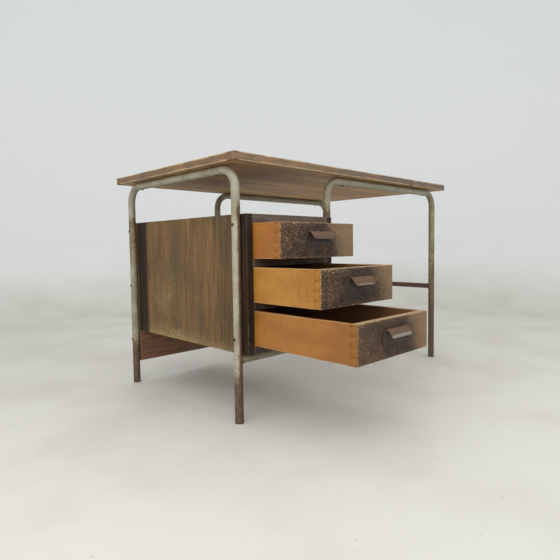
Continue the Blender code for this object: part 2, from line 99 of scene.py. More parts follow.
CAMERA_PLACE = Vector((-1.390, -1.162, 0.505))
LOOK_RIGHT_DEG = 44.33            # turned from +Y towards +X
LOOK_DOWN_DEG = 3.27
TILT_DEG = 0.77                   # the horizon leans by this much
LENS_MM = 30.5
SHIFT = (-0.0038, -0.0132)        # of the view's width: puts the desk where it belongs in the frame


def camera_directions(turn, down, tilt):
    """Right, up and backward directions of a camera, as the columns of a matrix."""
    ahead = Vector((math.sin(turn), math.cos(turn), 0))
    forward = ahead * math.cos(down) - Vector((0, 0, math.sin(down)))
    level_right = Vector((math.cos(turn), -math.sin(turn), 0))
    level_up = level_right.cross(forward)
    right = level_right * math.cos(tilt) - level_up * math.sin(tilt)
    up = level_up * math.cos(tilt) + level_right * math.sin(tilt)
    return Matrix((right, up, -forward)).transposed()


camera = linked("camera", bpy.data.cameras.new("camera"))
bpy.context.scene.camera = camera
camera.data.lens = LENS_MM
camera.data.shift_x, camera.data.shift_y = SHIFT
camera.location = CAMERA_PLACE
angles = map(math.radians, (LOOK_RIGHT_DEG, LOOK_DOWN_DEG, TILT_DEG))
camera.rotation_euler = camera_directions(*angles).to_euler()
to_near_leg = math.hypot(CAMERA_PLACE.x - LEFT_X, CAMERA_PLACE.y - FRONT_Y)
print("camera is", round(to_near_leg, 2), "m from the near leg")

# %% [markdown]
# ## Two small tools for materials
#
# Colours are picked the way a paint chart gives them, as sRGB hex values, and a shader wants
# linear light, so one function turns them. A material is a tree of nodes, and one function adds
# a node with its settings and its links. An input is given by its name or its number, and a
# value that is another node's socket becomes a link.

# %% Colour and node helpers


def linear(hex_colour):
    """An sRGB colour such as B08C5A as linear red, green, blue and alpha."""
    channels = [int(hex_colour[i:i + 2], 16) / 255 for i in (0, 2, 4)]
    return (*[c / 12.92 if c <= 0.04045 else ((c + 0.055) / 1.055) ** 2.4 for c in channels], 1.0)


def add_node(tree, kind, inputs=None, **settings):
    """Add a shader node of a kind, set it up and link it."""
    made = tree.nodes.new("ShaderNode" + kind)
    for setting, value in settings.items():
        setattr(made, setting, value)
    for socket, value in (inputs or {}).items():
        if isinstance(value, bpy.types.NodeSocket):
            tree.links.new(value, made.inputs[socket])
        else:
            made.inputs[socket].default_value = value
    return made


def new_finish(name, **sockets):
    """An empty material, its tree and its Principled shader with constant sockets set."""
    material = bpy.data.materials.new(name)
    material.use_nodes = True
    shader = material.node_tree.nodes["Principled BSDF"]
    for socket, value in sockets.items():
        shader.inputs[socket.replace("_", " ")].default_value = value
    return material, material.node_tree, shader


print("mid grey 808080 is", round(linear("808080")[0], 3), "in linear light")

# %% [markdown]
# ## Patterns that every finish shares
#
# Real surfaces vary at several sizes at once: a board is darker at one end, has streaks of a few
# millimetres and pores of a fraction of one. A noise texture gives one size at a time, so a
# finish stacks a few. The sizes are real millimetres: coordinates are divided by the size that
# one blob should have along each axis. Each piece carries a number called `lot`, which moves its
# pattern, so that no two boards are cut from the same place in the tree. Colours are laid on in
# coats, as a painter would: each coat covers what is under it where its pattern is strong.

# %% Shared patterns


def blobs(tree, size_mm, detail=2.0, roughness=0.55, twist=0.0):
    """Noise whose blobs measure size_mm, a number or one for each axis. It runs from 0 to 1."""
    sizes = size_mm if isinstance(size_mm, tuple) else (size_mm,) * 3
    place = add_node(tree, "TexCoord").outputs["Object"]
    lot = add_node(tree, "Attribute", attribute_name="lot").outputs["Fac"]
    moved = add_node(tree, "VectorMath", {0: place, 1: lot}, operation="ADD").outputs[0]
    per_metre = tuple(1 / (size * MM) for size in sizes)
    scaled = add_node(tree, "VectorMath", {0: moved, 1: per_metre}, operation="MULTIPLY").outputs[0]
    return add_node(tree, "TexNoise", {"Vector": scaled, "Scale": 1.0, "Detail": detail,
                                       "Roughness": roughness, "Distortion": twist}).outputs["Fac"]


def weighed(tree, *parts):
    """Patterns, and numbers that the mesh carries (given by name), added up by their weights."""
    total = 0.0
    for value, weight in parts:
        if isinstance(value, str):
            value = add_node(tree, "Attribute", attribute_name=value).outputs["Fac"]
        terms = {0: value, 1: weight, 2: total}
        total = add_node(tree, "Math", terms, operation="MULTIPLY_ADD").outputs[0]
    return total


def coat(tree, under, colour, value, start, full, most=1.0):
    """Lay a colour over what is under it, from nothing at value=start to `most` at value=full."""
    under, colour = [linear(c) if isinstance(c, str) else c for c in (under, colour)]
    ramp = {"Value": value, 1: start, 2: full, 4: most}
    mask = add_node(tree, "MapRange", ramp, interpolation_type="SMOOTHSTEP").outputs[0]
    return add_node(tree, "Mix", {0: mask, 6: under, 7: colour}, data_type="RGBA").outputs[2]


def finish_surface(tree, shader, colour, gloss, layers):
    """Link the colour, a roughness that follows a pattern, and bumps with heights in millimetres."""
    tree.links.new(colour, shader.inputs["Base Color"])
    pattern, smooth, rough = gloss
    spread = {"Value": pattern, 1: 0.3, 2: 0.7, 3: smooth, 4: rough}      # noise is mostly 0.3 to 0.7
    tree.links.new(add_node(tree, "MapRange", spread).outputs[0], shader.inputs["Roughness"])
    normal = None
    for height, depth_mm in layers:
        inputs = {"Height": height, "Distance": depth_mm * MM, "Strength": 1.0}
        if normal:
            inputs["Normal"] = normal
        normal = add_node(tree, "Bump", inputs).outputs[0]
    tree.links.new(normal, shader.inputs["Normal"])


print("a blob of 10 mm repeats", round(1 / (10 * MM)), "times in a metre")

# %% [markdown]
# ## The studio
#
# The desk stands in a plain round studio: a pale floor that sweeps up into a pale wall, so that
# no corner draws the eye. It is a turned profile, made by spinning a line about the upright
# axis. A round room looks the same from each side, and the wall is far enough away for a viewer
# to walk round the desk. Meshes are drawn up in bmesh, and one function ends each of them: it
# writes the mesh, shades it smooth and keeps the edges sharp where two faces meet steeply.

# %% Floor and wall
ROOM_RADIUS = 2.75
ROOM_SWEEP = 0.50
ROOM_HEIGHT = 3.2
ROOM_SIDES = 96
SWEEP_STEPS = 12


def ended(bm, name, sharp_deg=None):
    """The smooth mesh of a bmesh, which is freed. Edges steeper than sharp_deg stay sharp."""
    mesh = bpy.data.meshes.new(name)
    bm.to_mesh(mesh)
    bm.free()
    mesh.shade_smooth()
    if sharp_deg:
        mesh.set_sharp_from_angle(angle=math.radians(sharp_deg))
    return mesh


def painted_concrete(name):
    """Sealed pale concrete, matt, with faint scuffs a hand wide, under a whitewashed wall."""
    material, tree, shader = new_finish(name)
    place = add_node(tree, "TexCoord").outputs["Object"]
    height = add_node(tree, "SeparateXYZ", {0: place}).outputs["Z"]
    cloud = blobs(tree, 380.0, detail=4.0)
    scuff = blobs(tree, (60.0, 24.0, 40.0), detail=5.0)
    spot = blobs(tree, 11.0, detail=2.0)
    floor = coat(tree, "CBC8BF", "C3BFB4", cloud, 0.40, 0.70)
    floor = coat(tree, floor, "C2BEB1", scuff, 0.58, 0.80, 0.6)
    floor = coat(tree, floor, "978F80", spot, 0.70, 0.78, 0.6)
    colour = coat(tree, floor, "E2E3E2", height, 0.0, ROOM_SWEEP)
    finish_surface(tree, shader, colour, (cloud, 0.62, 0.78), [(blobs(tree, 9.0, detail=3.0), 0.12)])
    return material


def spun(name, profile, steps, finish):
    """A profile of (radius, height) points spun round the Z axis into a mesh."""
    bm = bmesh.new()
    verts = [bm.verts.new((radius, 0, height)) for radius, height in profile]
    edges = [bm.edges.new(pair) for pair in zip(verts, verts[1:])]
    bmesh.ops.spin(bm, geom=verts + edges, cent=(0, 0, 0), axis=(0, 0, 1), angle=2 * math.pi,
                   steps=steps, use_merge=True)
    bmesh.ops.remove_doubles(bm, verts=bm.verts, dist=0.01 * MM)
    bmesh.ops.recalc_face_normals(bm, faces=bm.faces)
    mesh = ended(bm, name)
    mesh.materials.append(finish)
    return linked(name, mesh)


def room_profile():
    """The floor out to the sweep, a quarter round, and the wall."""
    points = [(0.0, 0.0), (ROOM_RADIUS - ROOM_SWEEP, 0.0)]
    for step in range(1, SWEEP_STEPS + 1):
        angle = math.pi / 2 * step / SWEEP_STEPS
        out, up = ROOM_SWEEP * (1 - math.sin(angle)), ROOM_SWEEP * (1 - math.cos(angle))
        points.append((ROOM_RADIUS - out, up))
    return points + [(ROOM_RADIUS, ROOM_HEIGHT)]


room = spun("studio", room_profile(), ROOM_SIDES, painted_concrete("painted_concrete"))
print("studio is", 2 * ROOM_RADIUS, "m across")

# %% [markdown]
# ## Light
#
# Soft light comes from large sources. A weak panel hangs over the desk, a tall one stands low at
# the left, as a window would, and one fills in from the front. The sky above the open studio
# gives an even base. The view transform is the plain sRGB one, so that a picked colour stays
# that colour.

# %% Lights
DESK_MIDDLE = Vector((0.0, (FRONT_Y + REAR_Y) / 2, 0.4))
PANEL_SPREAD = math.radians(140)  # a panel's light fades out before it reaches its own plane
SKY_STRENGTH = 1.15


def soft_panel(name, place, size, watts, tint="FFFFFF"):
    """A square light panel that faces the middle of the desk."""
    lamp = bpy.data.lights.new(name, "AREA")
    lamp.size = size
    lamp.energy = watts
    lamp.color = linear(tint)[:3]
    lamp.spread = PANEL_SPREAD
    towards_desk = DESK_MIDDLE - Vector(place)
    made = linked(name, lamp)
    made.location = place
    made.rotation_euler = towards_desk.to_track_quat("-Z", "Y").to_euler()
    made.visible_camera = False
    print(name, watts, "W, is", round(towards_desk.length, 2), "m away")


soft_panel("ceiling_panel", (-0.1, 0.1, 2.9), 3.0, 7.0)
soft_panel("left_panel", (-2.15, -0.75, 1.35), 2.2, 25.5)
soft_panel("front_panel", (0.2, -2.2, 1.7), 1.6, 12.0, "F8FBFF")
sky = bpy.data.worlds.new("studio_air")
bpy.context.scene.world = sky
sky.use_nodes = True
sky.node_tree.nodes["Background"].inputs["Color"].default_value = linear("F1F5FA")
sky.node_tree.nodes["Background"].inputs["Strength"].default_value = SKY_STRENGTH
bpy.context.scene.view_settings.view_transform = "Standard"

# %% [markdown]
# ## Stoved enamel on steel tube
#
# The tubes were dipped or sprayed in grey-green enamel and baked. It is smooth and slightly
# glossy where it has survived. Fifty years of mops and shoes took it off from the floor up, and
# damp crept in where the wood touches the steel. Each tube's mesh carries a number, `rust`, from
# 0 for sound enamel to 1 for bare rust; on the near left leg it also carries painted shade on the
# side away from the light. Noise breaks the line between the two into islands and freckles, as
# real corrosion does. Where enamel is gone the surface steps down by its thickness.

# %% Enamel finish


def stoved_enamel(name, sound="9A9480", shade="857F6C"):
    """Baked enamel over rusting steel: a satin coat, freckled and flaking where rust is high."""
    material, tree, shader = new_finish(name)
    wide = blobs(tree, (30.0, 30.0, 55.0), detail=4.0)
    islands = blobs(tree, (6.0, 6.0, 11.0), detail=5.0, roughness=0.65)
    freckles = blobs(tree, 3.3, detail=2.0)         # real pits are 0.5 mm: drawn coarser, to show
    rot = weighed(tree, ("rust", 1.0), (wide, 0.35), (islands, 0.90), (freckles, 0.45))
    grime = weighed(tree, ("rust", 0.7), (wide, 0.5), (islands, 0.4), (freckles, 0.45))
    colour = coat(tree, sound, shade, wide, 0.35, 0.68)
    colour = coat(tree, colour, "6B604A", grime, 0.72, 1.04, 0.8)
    colour = coat(tree, colour, "82744E", rot, 0.98, 1.24, 0.8)
    rusty = coat(tree, "46352A", "6E523D", islands, 0.40, 0.66)
    colour = coat(tree, colour, rusty, rot, 1.22, 1.34)
    specks = weighed(tree, (freckles, 0.7), (islands, 0.5), ("rust", 0.06))
    colour = coat(tree, colour, "4C3C2E", specks, 0.70, 0.78, 0.85)
    gloss = weighed(tree, (islands, 0.5), (rot, 0.35))
    sunk = coat(tree, "FFFFFF", "000000", rot, 1.22, 1.30)
    pitted = coat(tree, "FFFFFF", "000000", freckles, 0.60, 0.66)
    finish_surface(tree, shader, colour, (gloss, 0.36, 0.62),
                   [(sunk, 0.12), (islands, 0.10), (pitted, 0.12)])
    return material


enamel = stoved_enamel("stoved_enamel_rusting")
rail_enamel = stoved_enamel("stoved_enamel_rail", "8F8874", "757058")
print(len(enamel.node_tree.nodes), "nodes in the enamel")

# %% [markdown]
# ## Helpers for pieces
#
# A piece is a mesh with a finish that rides on one of the frame's bodies and stands for the
# plain node in the frame. Numbers that a shader reads, such as `rust`, `rub` or `lot`, are stored
# on the mesh's points. A plain node whose own shape is right stays, and only gets its finish.

# %% Piece helpers
LOT_STEP = 0.37                   # metres between the places that two pieces are cut from
pieces_made = []


def carry(mesh, name, values):
    """Store one number for each point of a mesh."""
    attribute = mesh.attributes.get(name) or mesh.attributes.new(name, "FLOAT", "POINT")
    attribute.data.foreach_set("value", np.asarray(values, np.float32))


def points_of(mesh):
    """The points of a mesh as an array with one row each."""
    flat = np.zeros(len(mesh.vertices) * 3)
    mesh.vertices.foreach_get("co", flat)
    return flat.reshape(-1, 3)


def piece(name, mesh, finish, body, stands_for=()):
    """Link a mesh that is already in place, and tie it to the frame."""
    if not mesh.materials:
        mesh.materials.append(finish)
    pieces_made.append(name)
    carry(mesh, "lot", np.full(len(mesh.vertices), LOT_STEP * len(pieces_made)))
    made = linked(name, mesh)
    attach(made, body)
    if stands_for:
        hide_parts(*stands_for)
    return made


def coat_plain_node(node, finish):
    """Give a node of the frame a finish, and keep its shape."""
    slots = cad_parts[node].data.materials
    slots.clear()
    slots.append(finish)


def eased(value, low, high):
    """0 below low, 1 above high, and a smooth change between, for numbers and arrays."""
    share = np.clip((np.asarray(value, float) - low) / (high - low), 0, 1)
    return share * share * (3 - 2 * share)


print("a point half way up the ramp gets", float(eased(0.5, 0, 1)))

# %% [markdown]
# ## Bent steel tube
#
# A tube bender pulls a straight tube round a former, so each leg frame is straight runs joined
# by quarter circles. The path is walked in short steps, and at each step a ring of points is
# laid square to it. The two ends turn inwards over the cut edge and up the bore, so that the
# foot of each leg shows the wall of the tube.

# %% Tube path and rings
TUBE_WALL = 1.5 * MM
BORE_SHOWN = 20 * MM
LIP_ROUND = 0.5 * MM              # the cut edge is eased by this much
RING_STEP = 12 * MM
RING_POINTS = 28
BEND_RADIUS = 58 * MM
BEND_STEPS = 15


def bent_path(corners, bend):
    """Points along straight runs between corners, with each inner corner rounded by an arc."""
    points = [corners[0]]
    for before, corner, after in zip(corners, corners[1:], corners[2:]):
        inward, outward = (before - corner).normalized(), (after - corner).normalized()
        centre = corner + (inward + outward) * bend
        for step in range(BEND_STEPS + 1):
            angle = math.pi / 2 * step / BEND_STEPS
            points.append(centre - outward * bend * math.cos(angle) - inward * bend * math.sin(angle))
    points.append(corners[-1])
    return points


def even_steps(points, step):
    """The same path with no two neighbours more than a step apart."""
    walked = [points[0]]
    for start, end in zip(points, points[1:]):
        count = max(1, math.ceil((end - start).length / step))
        walked += [start.lerp(end, i / count) for i in range(1, count + 1)]
    return walked


def ring_rows(path, radius, wall):
    """Centre, direction and radius of each ring, from inside one bore to inside the other."""
    rows = []
    for index, centre in enumerate(path):
        ahead, behind = path[min(index + 1, len(path) - 1)], path[max(index - 1, 0)]
        rows.append((centre, (ahead - behind).normalized(), radius))
    for end, inward in ((0, 1), (-1, -1)):
        centre, along, _ = rows[end]
        lip = [(centre + along * inward * LIP_ROUND, along, radius),
               (centre, along, radius - LIP_ROUND),
               (centre, along, radius - wall),
               (centre + along * inward * BORE_SHOWN, along, radius - wall)]
        rows = [*reversed(lip), *rows[1:]] if end == 0 else [*rows[:-1], *lip]
    return rows


def tube_mesh(name, path, radius, wall, flat_normal):
    """A tube along a path that lies in one plane."""
    bm = bmesh.new()
    previous = None
    for centre, along, ring_radius in ring_rows(path, radius, wall):
        across = along.cross(flat_normal).normalized()
        ring = []
        for k in range(RING_POINTS):
            angle = 2 * math.pi * k / RING_POINTS
            spoke = across * math.cos(angle) + flat_normal * math.sin(angle)
            ring.append(bm.verts.new(centre + spoke * ring_radius))
        if previous:
            for k in range(RING_POINTS):
                follow = (k + 1) % RING_POINTS
                bm.faces.new((previous[k], previous[follow], ring[follow], ring[k]))
        else:
            bm.faces.new(ring)
        previous = ring
    bm.faces.new(previous)
    bmesh.ops.recalc_face_normals(bm, faces=bm.faces)
    return ended(bm, name, 50)


print("a ring every", RING_STEP / MM, "mm")

# %% [markdown]
# ## Where the tubes have rusted
#
# Rust follows use. Mops wet the feet, so the lowest part of a leg is brown. Damp stays where
# the pedestal's boards press on the steel, and most of all at the pedestal's upper edge, where
# water ran down and stopped. The near left leg is dark on the side that faces the sitter, partly
# knocked bare and partly painted shade on the side away from the light. The right legs are darker
# all the way up, and the stretcher, where shoes rest, lost nearly all its enamel. Only four legs
# stand on the floor: the inner two end under the pedestal, level with the rail.

# %% Rust by place
WET_FLOOR = (0.045, 0.19)         # heights between which the mop's rust fades out
SPLASHES = (0.10, 0.35)           # the same for its splashes
SHOES = (0.30, 0.55)              # and for kicks against the right legs


def rust_on_legs(points):
    """How far gone the enamel is at each point of the leg frames, from 0 to 1, with painted shade on
    the near left leg's side away from the light.
    """
    x, y, z = points.T
    left = 1 - eased(x, LEFT_X + 0.02, LEFT_X + 0.04)
    middle = eased(x, MID_X - 0.03, MID_X - 0.02) * (1 - eased(x, MID_X + 0.02, MID_X + 0.03))
    right = eased(x, RIGHT_X - 0.06, RIGHT_X - 0.02)
    rear = eased(y, REAR_Y - 0.05, REAR_Y)
    feet = 0.75 * (1 - eased(z, *WET_FLOOR)) + 0.10 * (1 - eased(z, *SPLASHES))
    # the right legs are darker all the way up, and more so low down
    right_legs_darker = right * (0.34 + 0.16 * (1 - eased(z, *SHOES)))
    edge_of_case = np.exp(-((z - CASE_HIGH.z - 0.005) / 0.030) ** 2)
    damp_edge = edge_of_case * (0.22 * left + 0.50 * middle)
    # painted shade: the near left leg's side away from the light is made rusty dark, partly bare
    # enamel and partly its shade
    towards_sitter = ((x - LEFT_X) - (y - FRONT_Y)) / (math.sqrt(2) * TUBE_RADIUS)
    bare_and_shaded_side = 0.66 * eased(towards_sitter, 0.10, 0.80)
    knocked_and_shaded = left * (1 - rear) * bare_and_shaded_side * (1 - eased(z, 0.60, 0.64))
    hand_high = np.exp(-((z - 0.52) / 0.08) ** 2)
    rear_left = left * rear * (0.14 + 0.24 * hand_high) * (1 - eased(z, 0.60, 0.63))
    below_case = middle * (0.14 + 0.45 * (1 - eased(z, 0.56, 0.60)))
    below_top = 0.04 * left * (1 - eased(z, 0.58, 0.66))
    bends = 0.04 * eased(z, TUBE_TOP_Z - 0.03, TUBE_TOP_Z)
    return np.clip(feet + right_legs_darker + damp_edge + knocked_and_shaded + rear_left + below_case + below_top
                   + bends, 0, 1)


def leg_frame(name, first, second, first_foot_z):
    """One U-shaped frame: foot, bend, bend, foot. The first foot ends at a height of its own."""
    up = Vector((0, 0, TUBE_TOP_Z))
    start, end = Vector((*first, 0)), Vector((*second, 0))
    foot = start + Vector((0, 0, first_foot_z))
    flat_normal = (end - start).cross(Vector((0, 0, 1))).normalized()
    path = even_steps(bent_path([foot, start + up, end + up, end], BEND_RADIUS), RING_STEP)
    mesh = tube_mesh(name, path, TUBE_RADIUS, TUBE_WALL, flat_normal)
    carry(mesh, "rust", rust_on_legs(points_of(mesh)))
    return piece(name + "_tube", mesh, enamel, "desk", [name])


inner_foot_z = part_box("pedestal_rail")[0].z        # the two inner legs stop under the pedestal
for made in (leg_frame("end_frame", (LEFT_X, FRONT_Y), (LEFT_X, REAR_Y), 0.0),
             leg_frame("front_frame", (MID_X, FRONT_Y), (RIGHT_X, FRONT_Y), inner_foot_z),
             leg_frame("rear_frame", (MID_X, REAR_Y), (RIGHT_X, REAR_Y), inner_foot_z)):
    print(made.name, len(made.data.vertices), "points")

# %% [markdown]
# ## Stretcher, rail and their welds
#
# The two cross tubes are cut to fit round the legs and welded. A weld is a bead of melted steel
# that runs round the joint. Its line is where one cylinder meets another, so the bead is a thin
# wavy ring along that saddle-shaped curve, laid in small drops.

# %% Cross tubes
WELD_RADIUS = 2.6 * MM
WELD_STEPS = 72
WELD_POINTS = 8
WELD_RUST = 0.60
STRETCHER_RUST = 0.70
RAIL_RUST = 0.14
SADDLE_FIT = 0.55                 # how far a cross tube's end goes into a leg, of the leg's radius


def cross_tube(node, rust, finish):
    """A straight tube between two legs, from the frame's own box."""
    low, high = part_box(node)
    middle = (low + high) / 2
    long_axis = 0 if high.x - low.x > high.y - low.y else 1
    radius = (high.z - low.z) / 2
    start, end = middle.copy(), middle.copy()
    start[long_axis] = low[long_axis] + TUBE_RADIUS * (1 - SADDLE_FIT)
    end[long_axis] = high[long_axis] - TUBE_RADIUS * (1 - SADDLE_FIT)
    mesh = tube_mesh(node, even_steps([start, end], RING_STEP), radius, TUBE_WALL, Vector((0, 0, 1)))
    carry(mesh, "rust", np.full(len(mesh.vertices), rust))
    return piece(node + "_tube", mesh, finish, "desk", [node])


def weld(name, leg, direction, radius):
    """A bead round a cross tube of a radius where it meets an upright leg at a point."""
    side = direction.cross(Vector((0, 0, 1)))
    bm = bmesh.new()
    rings = []
    for step in range(WELD_STEPS):
        angle = 2 * math.pi * step / WELD_STEPS
        across, rise = radius * math.cos(angle), radius * math.sin(angle)
        saddle = math.sqrt(TUBE_RADIUS ** 2 - across ** 2)
        centre = leg + direction * saddle + side * across + Vector((0, 0, rise))
        outward = (side * math.cos(angle) + Vector((0, 0, math.sin(angle)))).normalized()
        ripple = 1 + 0.22 * noise.noise(centre / (4 * MM)) + 0.10 * math.cos(angle * 17)
        ring = []
        for k in range(WELD_POINTS):
            turn = 2 * math.pi * k / WELD_POINTS
            spoke = outward * math.cos(turn) + direction * math.sin(turn)
            ring.append(bm.verts.new(centre + spoke * WELD_RADIUS * ripple))
        rings.append(ring)
    for ring, after in zip(rings, rings[1:] + rings[:1]):
        for k in range(WELD_POINTS):
            follow = (k + 1) % WELD_POINTS
            bm.faces.new((ring[k], ring[follow], after[follow], after[k]))
    bmesh.ops.recalc_face_normals(bm, faces=bm.faces)
    mesh = ended(bm, name)
    carry(mesh, "rust", np.full(len(mesh.vertices), WELD_RUST))
    return piece(name, mesh, rail_enamel, "desk")


cross_tube("end_stretcher", STRETCHER_RUST, enamel)
cross_tube("pedestal_rail", RAIL_RUST, rail_enamel)
stretcher_low, stretcher_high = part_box("end_stretcher")
stretcher_z = (stretcher_low.z + stretcher_high.z) / 2
stretcher_radius = (stretcher_high.z - stretcher_low.z) / 2
rail_z = sum(corner.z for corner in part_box("pedestal_rail")) / 2
almost_leg = TUBE_RADIUS - 0.1 * MM        # the rail is as thick as the leg that it meets
for name, x, y, z, direction, radius in (
        ("weld_stretcher_front", RIGHT_X, FRONT_Y, stretcher_z, (0, 1, 0), stretcher_radius),
        ("weld_stretcher_rear", RIGHT_X, REAR_Y, stretcher_z, (0, -1, 0), stretcher_radius),
        ("weld_rail_left", LEFT_X, FRONT_Y, rail_z, (1, 0, 0), almost_leg),
        ("weld_rail_middle", MID_X, FRONT_Y, rail_z, (-1, 0, 0), almost_leg)):
    weld(name, Vector((x, y, z)), Vector(direction), radius)
print("cross tubes at heights", round(stretcher_z, 3), round(rail_z, 3))

# %% [markdown]
# ## Boards with worn edges
#
# A new board has crisp arrises. A used one is rubbed round, more here and less there, with a
# chip where a chair hit it. The board starts as a box whose grid lines crowd together near the
# edges. Each point is then pulled onto a rounded corner whose radius changes along the edge, and
# where a fine noise peaks, the radius grows into a chip. Wear only takes wood away, so the board
# stays within its own size. A board with dovetails or a groove is then cut by its plain node:
# what is left is what both shapes share.

# %% Worn board
SKIN = 0.05 * MM                  # a worn board is this much smaller than its node all round
RUB_WIDTH = 9 * MM                # rubbed colour reaches this far in from an edge
WAVE = 45 * MM                    # length of the slow changes of an edge's roundness
CHIP_LENGTH = 7 * MM


def grid_lines(low, high, corner, step):
    """Places of grid lines between two ends, crowded in the rounded corners."""
    close = [corner * share for share in (0.0, 0.2, 0.45, 0.72, 1.0)]
    inner = high - low - 2 * corner
    count = max(1, round(inner / step))
    middle = [low + corner + inner * i / count for i in range(1, count)]
    return [low + c for c in close] + middle + [high - c for c in reversed(close)]


def box_of_grids(lines):
    """A closed box mesh with a grid on each face, from its grid lines along X, Y and Z."""
    bm = bmesh.new()
    verts = {}

    def at(i, j, k):
        if (i, j, k) not in verts:
            verts[i, j, k] = bm.verts.new((lines[0][i], lines[1][j], lines[2][k]))
        return verts[i, j, k]

    last = [len(line) - 1 for line in lines]
    for axis in range(3):
        first, second = (axis + 1) % 3, (axis + 2) % 3
        for end in (0, last[axis]):
            for i in range(last[first]):
                for j in range(last[second]):
                    corners = []
                    for a, b in ((i, j), (i + 1, j), (i + 1, j + 1), (i, j + 1)):
                        index = [0, 0, 0]
                        index[axis], index[first], index[second] = end, a, b
                        corners.append(at(*index))
                    bm.faces.new(corners if end else corners[::-1])
    return bm


def rub_of(points, low, high):
    """1 on a board's edges and 0 away from them."""
    gaps = np.sort(np.minimum(points - np.array(low), np.array(high) - points), axis=1)
    return 1 - eased(gaps[:, 1], 0, RUB_WIDTH)


def worn_mesh(name, low, high, rounding, chip, step):
    """A board between two corners, with uneven rounded arrises and chips up to a depth."""
    low = Vector(low) + Vector((SKIN,) * 3)
    high = Vector(high) - Vector((SKIN,) * 3)
    most = min(rounding * 1.6 + chip, 0.49 * min(high - low))
    bm = box_of_grids([grid_lines(low[i], high[i], most, step) for i in range(3)])
    for vert in bm.verts:
        place = vert.co.copy()
        slow = noise.noise(place / WAVE)
        quick = noise.noise(place / CHIP_LENGTH + Vector((31, 7, 3)))      # elsewhere in the noise
        radius = rounding * (1 + 0.6 * slow) + chip * max(0.0, quick - 0.25) / 0.5
        radius = min(most, max(0.15 * rounding, radius))
        core = Vector([min(max(place[i], low[i] + radius), high[i] - radius) for i in range(3)])
        away = place - core
        if away.length > radius:
            vert.co = core + away * (radius / away.length)
    mesh = ended(bm, name, 45)
    carry(mesh, "rub", rub_of(points_of(mesh), low, high))
    return mesh


def cut_mesh(block, tool, operation, sharp_deg):
    """The mesh of a block after a Boolean with a tool. The block is used up."""
    cut = block.modifiers.new("cut", "BOOLEAN")
    cut.operation = operation
    cut.solver = "EXACT"
    cut.object = tool
    depsgraph = bpy.context.evaluated_depsgraph_get()
    result = bpy.data.meshes.new_from_object(block.evaluated_get(depsgraph))
    bpy.data.objects.remove(block)
    result.materials.clear()
    result.polygons.foreach_set("material_index", [0] * len(result.polygons))
    result.shade_smooth()
    result.set_sharp_from_angle(angle=math.radians(sharp_deg))
    return result


def worn_board(node, finish, body="desk", rounding=1.0, chip=1.0, step=14.0, carved=False):
    """A worn board that stands for a node of the frame. Rounding, chip and step are millimetres."""
    low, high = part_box(node)
    mesh = worn_mesh(node + "_worn", low, high, rounding * MM, chip * MM, step * MM)
    if carved:
        mesh = cut_mesh(linked("block", mesh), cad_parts[node], "INTERSECT", 35)
        carry(mesh, "rub", rub_of(points_of(mesh), low, high))
    return piece(node + "_worn", mesh, finish, body, [node])


print("edges are rubbed", RUB_WIDTH / MM, "mm wide")

# %% [markdown]
# ## Plywood, stained thin and weathered
#
# The pedestal's sides are birch plywood with a brown-olive stain. The face veneer was peeled
# from the log, so its grain runs upright in long soft streaks, with pores drawn out into dashes.
# Beside the legs, along the upper edge and towards the front the board is darker, partly stain that
# stayed dark where a leg covered it and partly painted shade of the legs and the top. Along the
# lower edge it has gone pale. The mesh carries `shade` and `weathered` for those two. Pale dashes
# are places where the stain never took.

# %% Plywood finish


def stained_plywood(name):
    """Peeled birch veneer under old stain: matt, streaked upright, with pale scuffs."""
    material, tree, shader = new_finish(name, Specular_IOR_Level=0.25)
    broad = blobs(tree, (60.0, 32.0, 600.0), detail=3.0)
    streak = blobs(tree, (9.0, 4.5, 150.0), detail=5.0, roughness=0.62)
    fibre = blobs(tree, (2.4, 1.5, 22.0), detail=3.0)            # real fibres are 0.3 mm wide
    speck = blobs(tree, (3.0, 2.2, 6.0), detail=3.0, roughness=0.6)
    patch = blobs(tree, (90.0, 90.0, 150.0), detail=4.0)
    wood = coat(tree, "644D30", "785A37", broad, 0.34, 0.68)
    wood = coat(tree, wood, "463520", streak, 0.42, 0.66, 0.8)
    wood = coat(tree, wood, "8A6E44", fibre, 0.52, 0.72, 0.55)
    wood = coat(tree, wood, "4C3F2B", weighed(tree, (patch, 0.8), (speck, 0.3)), 0.50, 0.68, 0.60)
    light = weighed(tree, (speck, 0.8), (fibre, 0.3), (patch, 0.30), ("rub", 0.06),
                    ("weathered", 0.26))
    wood = coat(tree, wood, "A28A60", light, 0.84, 1.06, 0.70)
    # painted shade: where `shade` is high the stain goes near black, beside the legs and under the
    # top
    wood = coat(tree, wood, "20160F", weighed(tree, ("shade", 1.0), (streak, 0.45)), 0.32, 1.00, 0.95)
    rubbed = weighed(tree, ("rub", 1.0), (speck, 0.55), (patch, 0.35))
    wood = coat(tree, wood, "8F6F50", rubbed, 1.40, 1.62, 0.7)
    finish_surface(tree, shader, wood, (streak, 0.58, 0.74), [(fibre, 0.10), (streak, 0.14)])
    return material


def side_stain_and_painted_shade(points):
    """Dark bands beside the legs, along the upper edge and on the front edge of a pedestal side:
    partly stain, partly painted shade of the legs and the top.
    """
    _, y, z = points.T
    rear = eased(y, REAR_Y - 0.106, REAR_Y - 0.052)
    front = 1 - eased(y, FRONT_Y + 0.010, FRONT_Y + 0.050)
    near_front = 1 - eased(y, FRONT_Y, FRONT_Y + 0.26)
    top = 1 - eased(CASE_HIGH.z - z, 0.0, 0.05)
    front_edge = 1 - eased(y, CASE_LOW.y + 1.5 * MM, CASE_LOW.y + 4 * MM)
    bands = 0.95 * rear + 0.25 * front + 0.38 * near_front + 0.12 * top + front_edge
    return np.clip(bands, 0, 1)


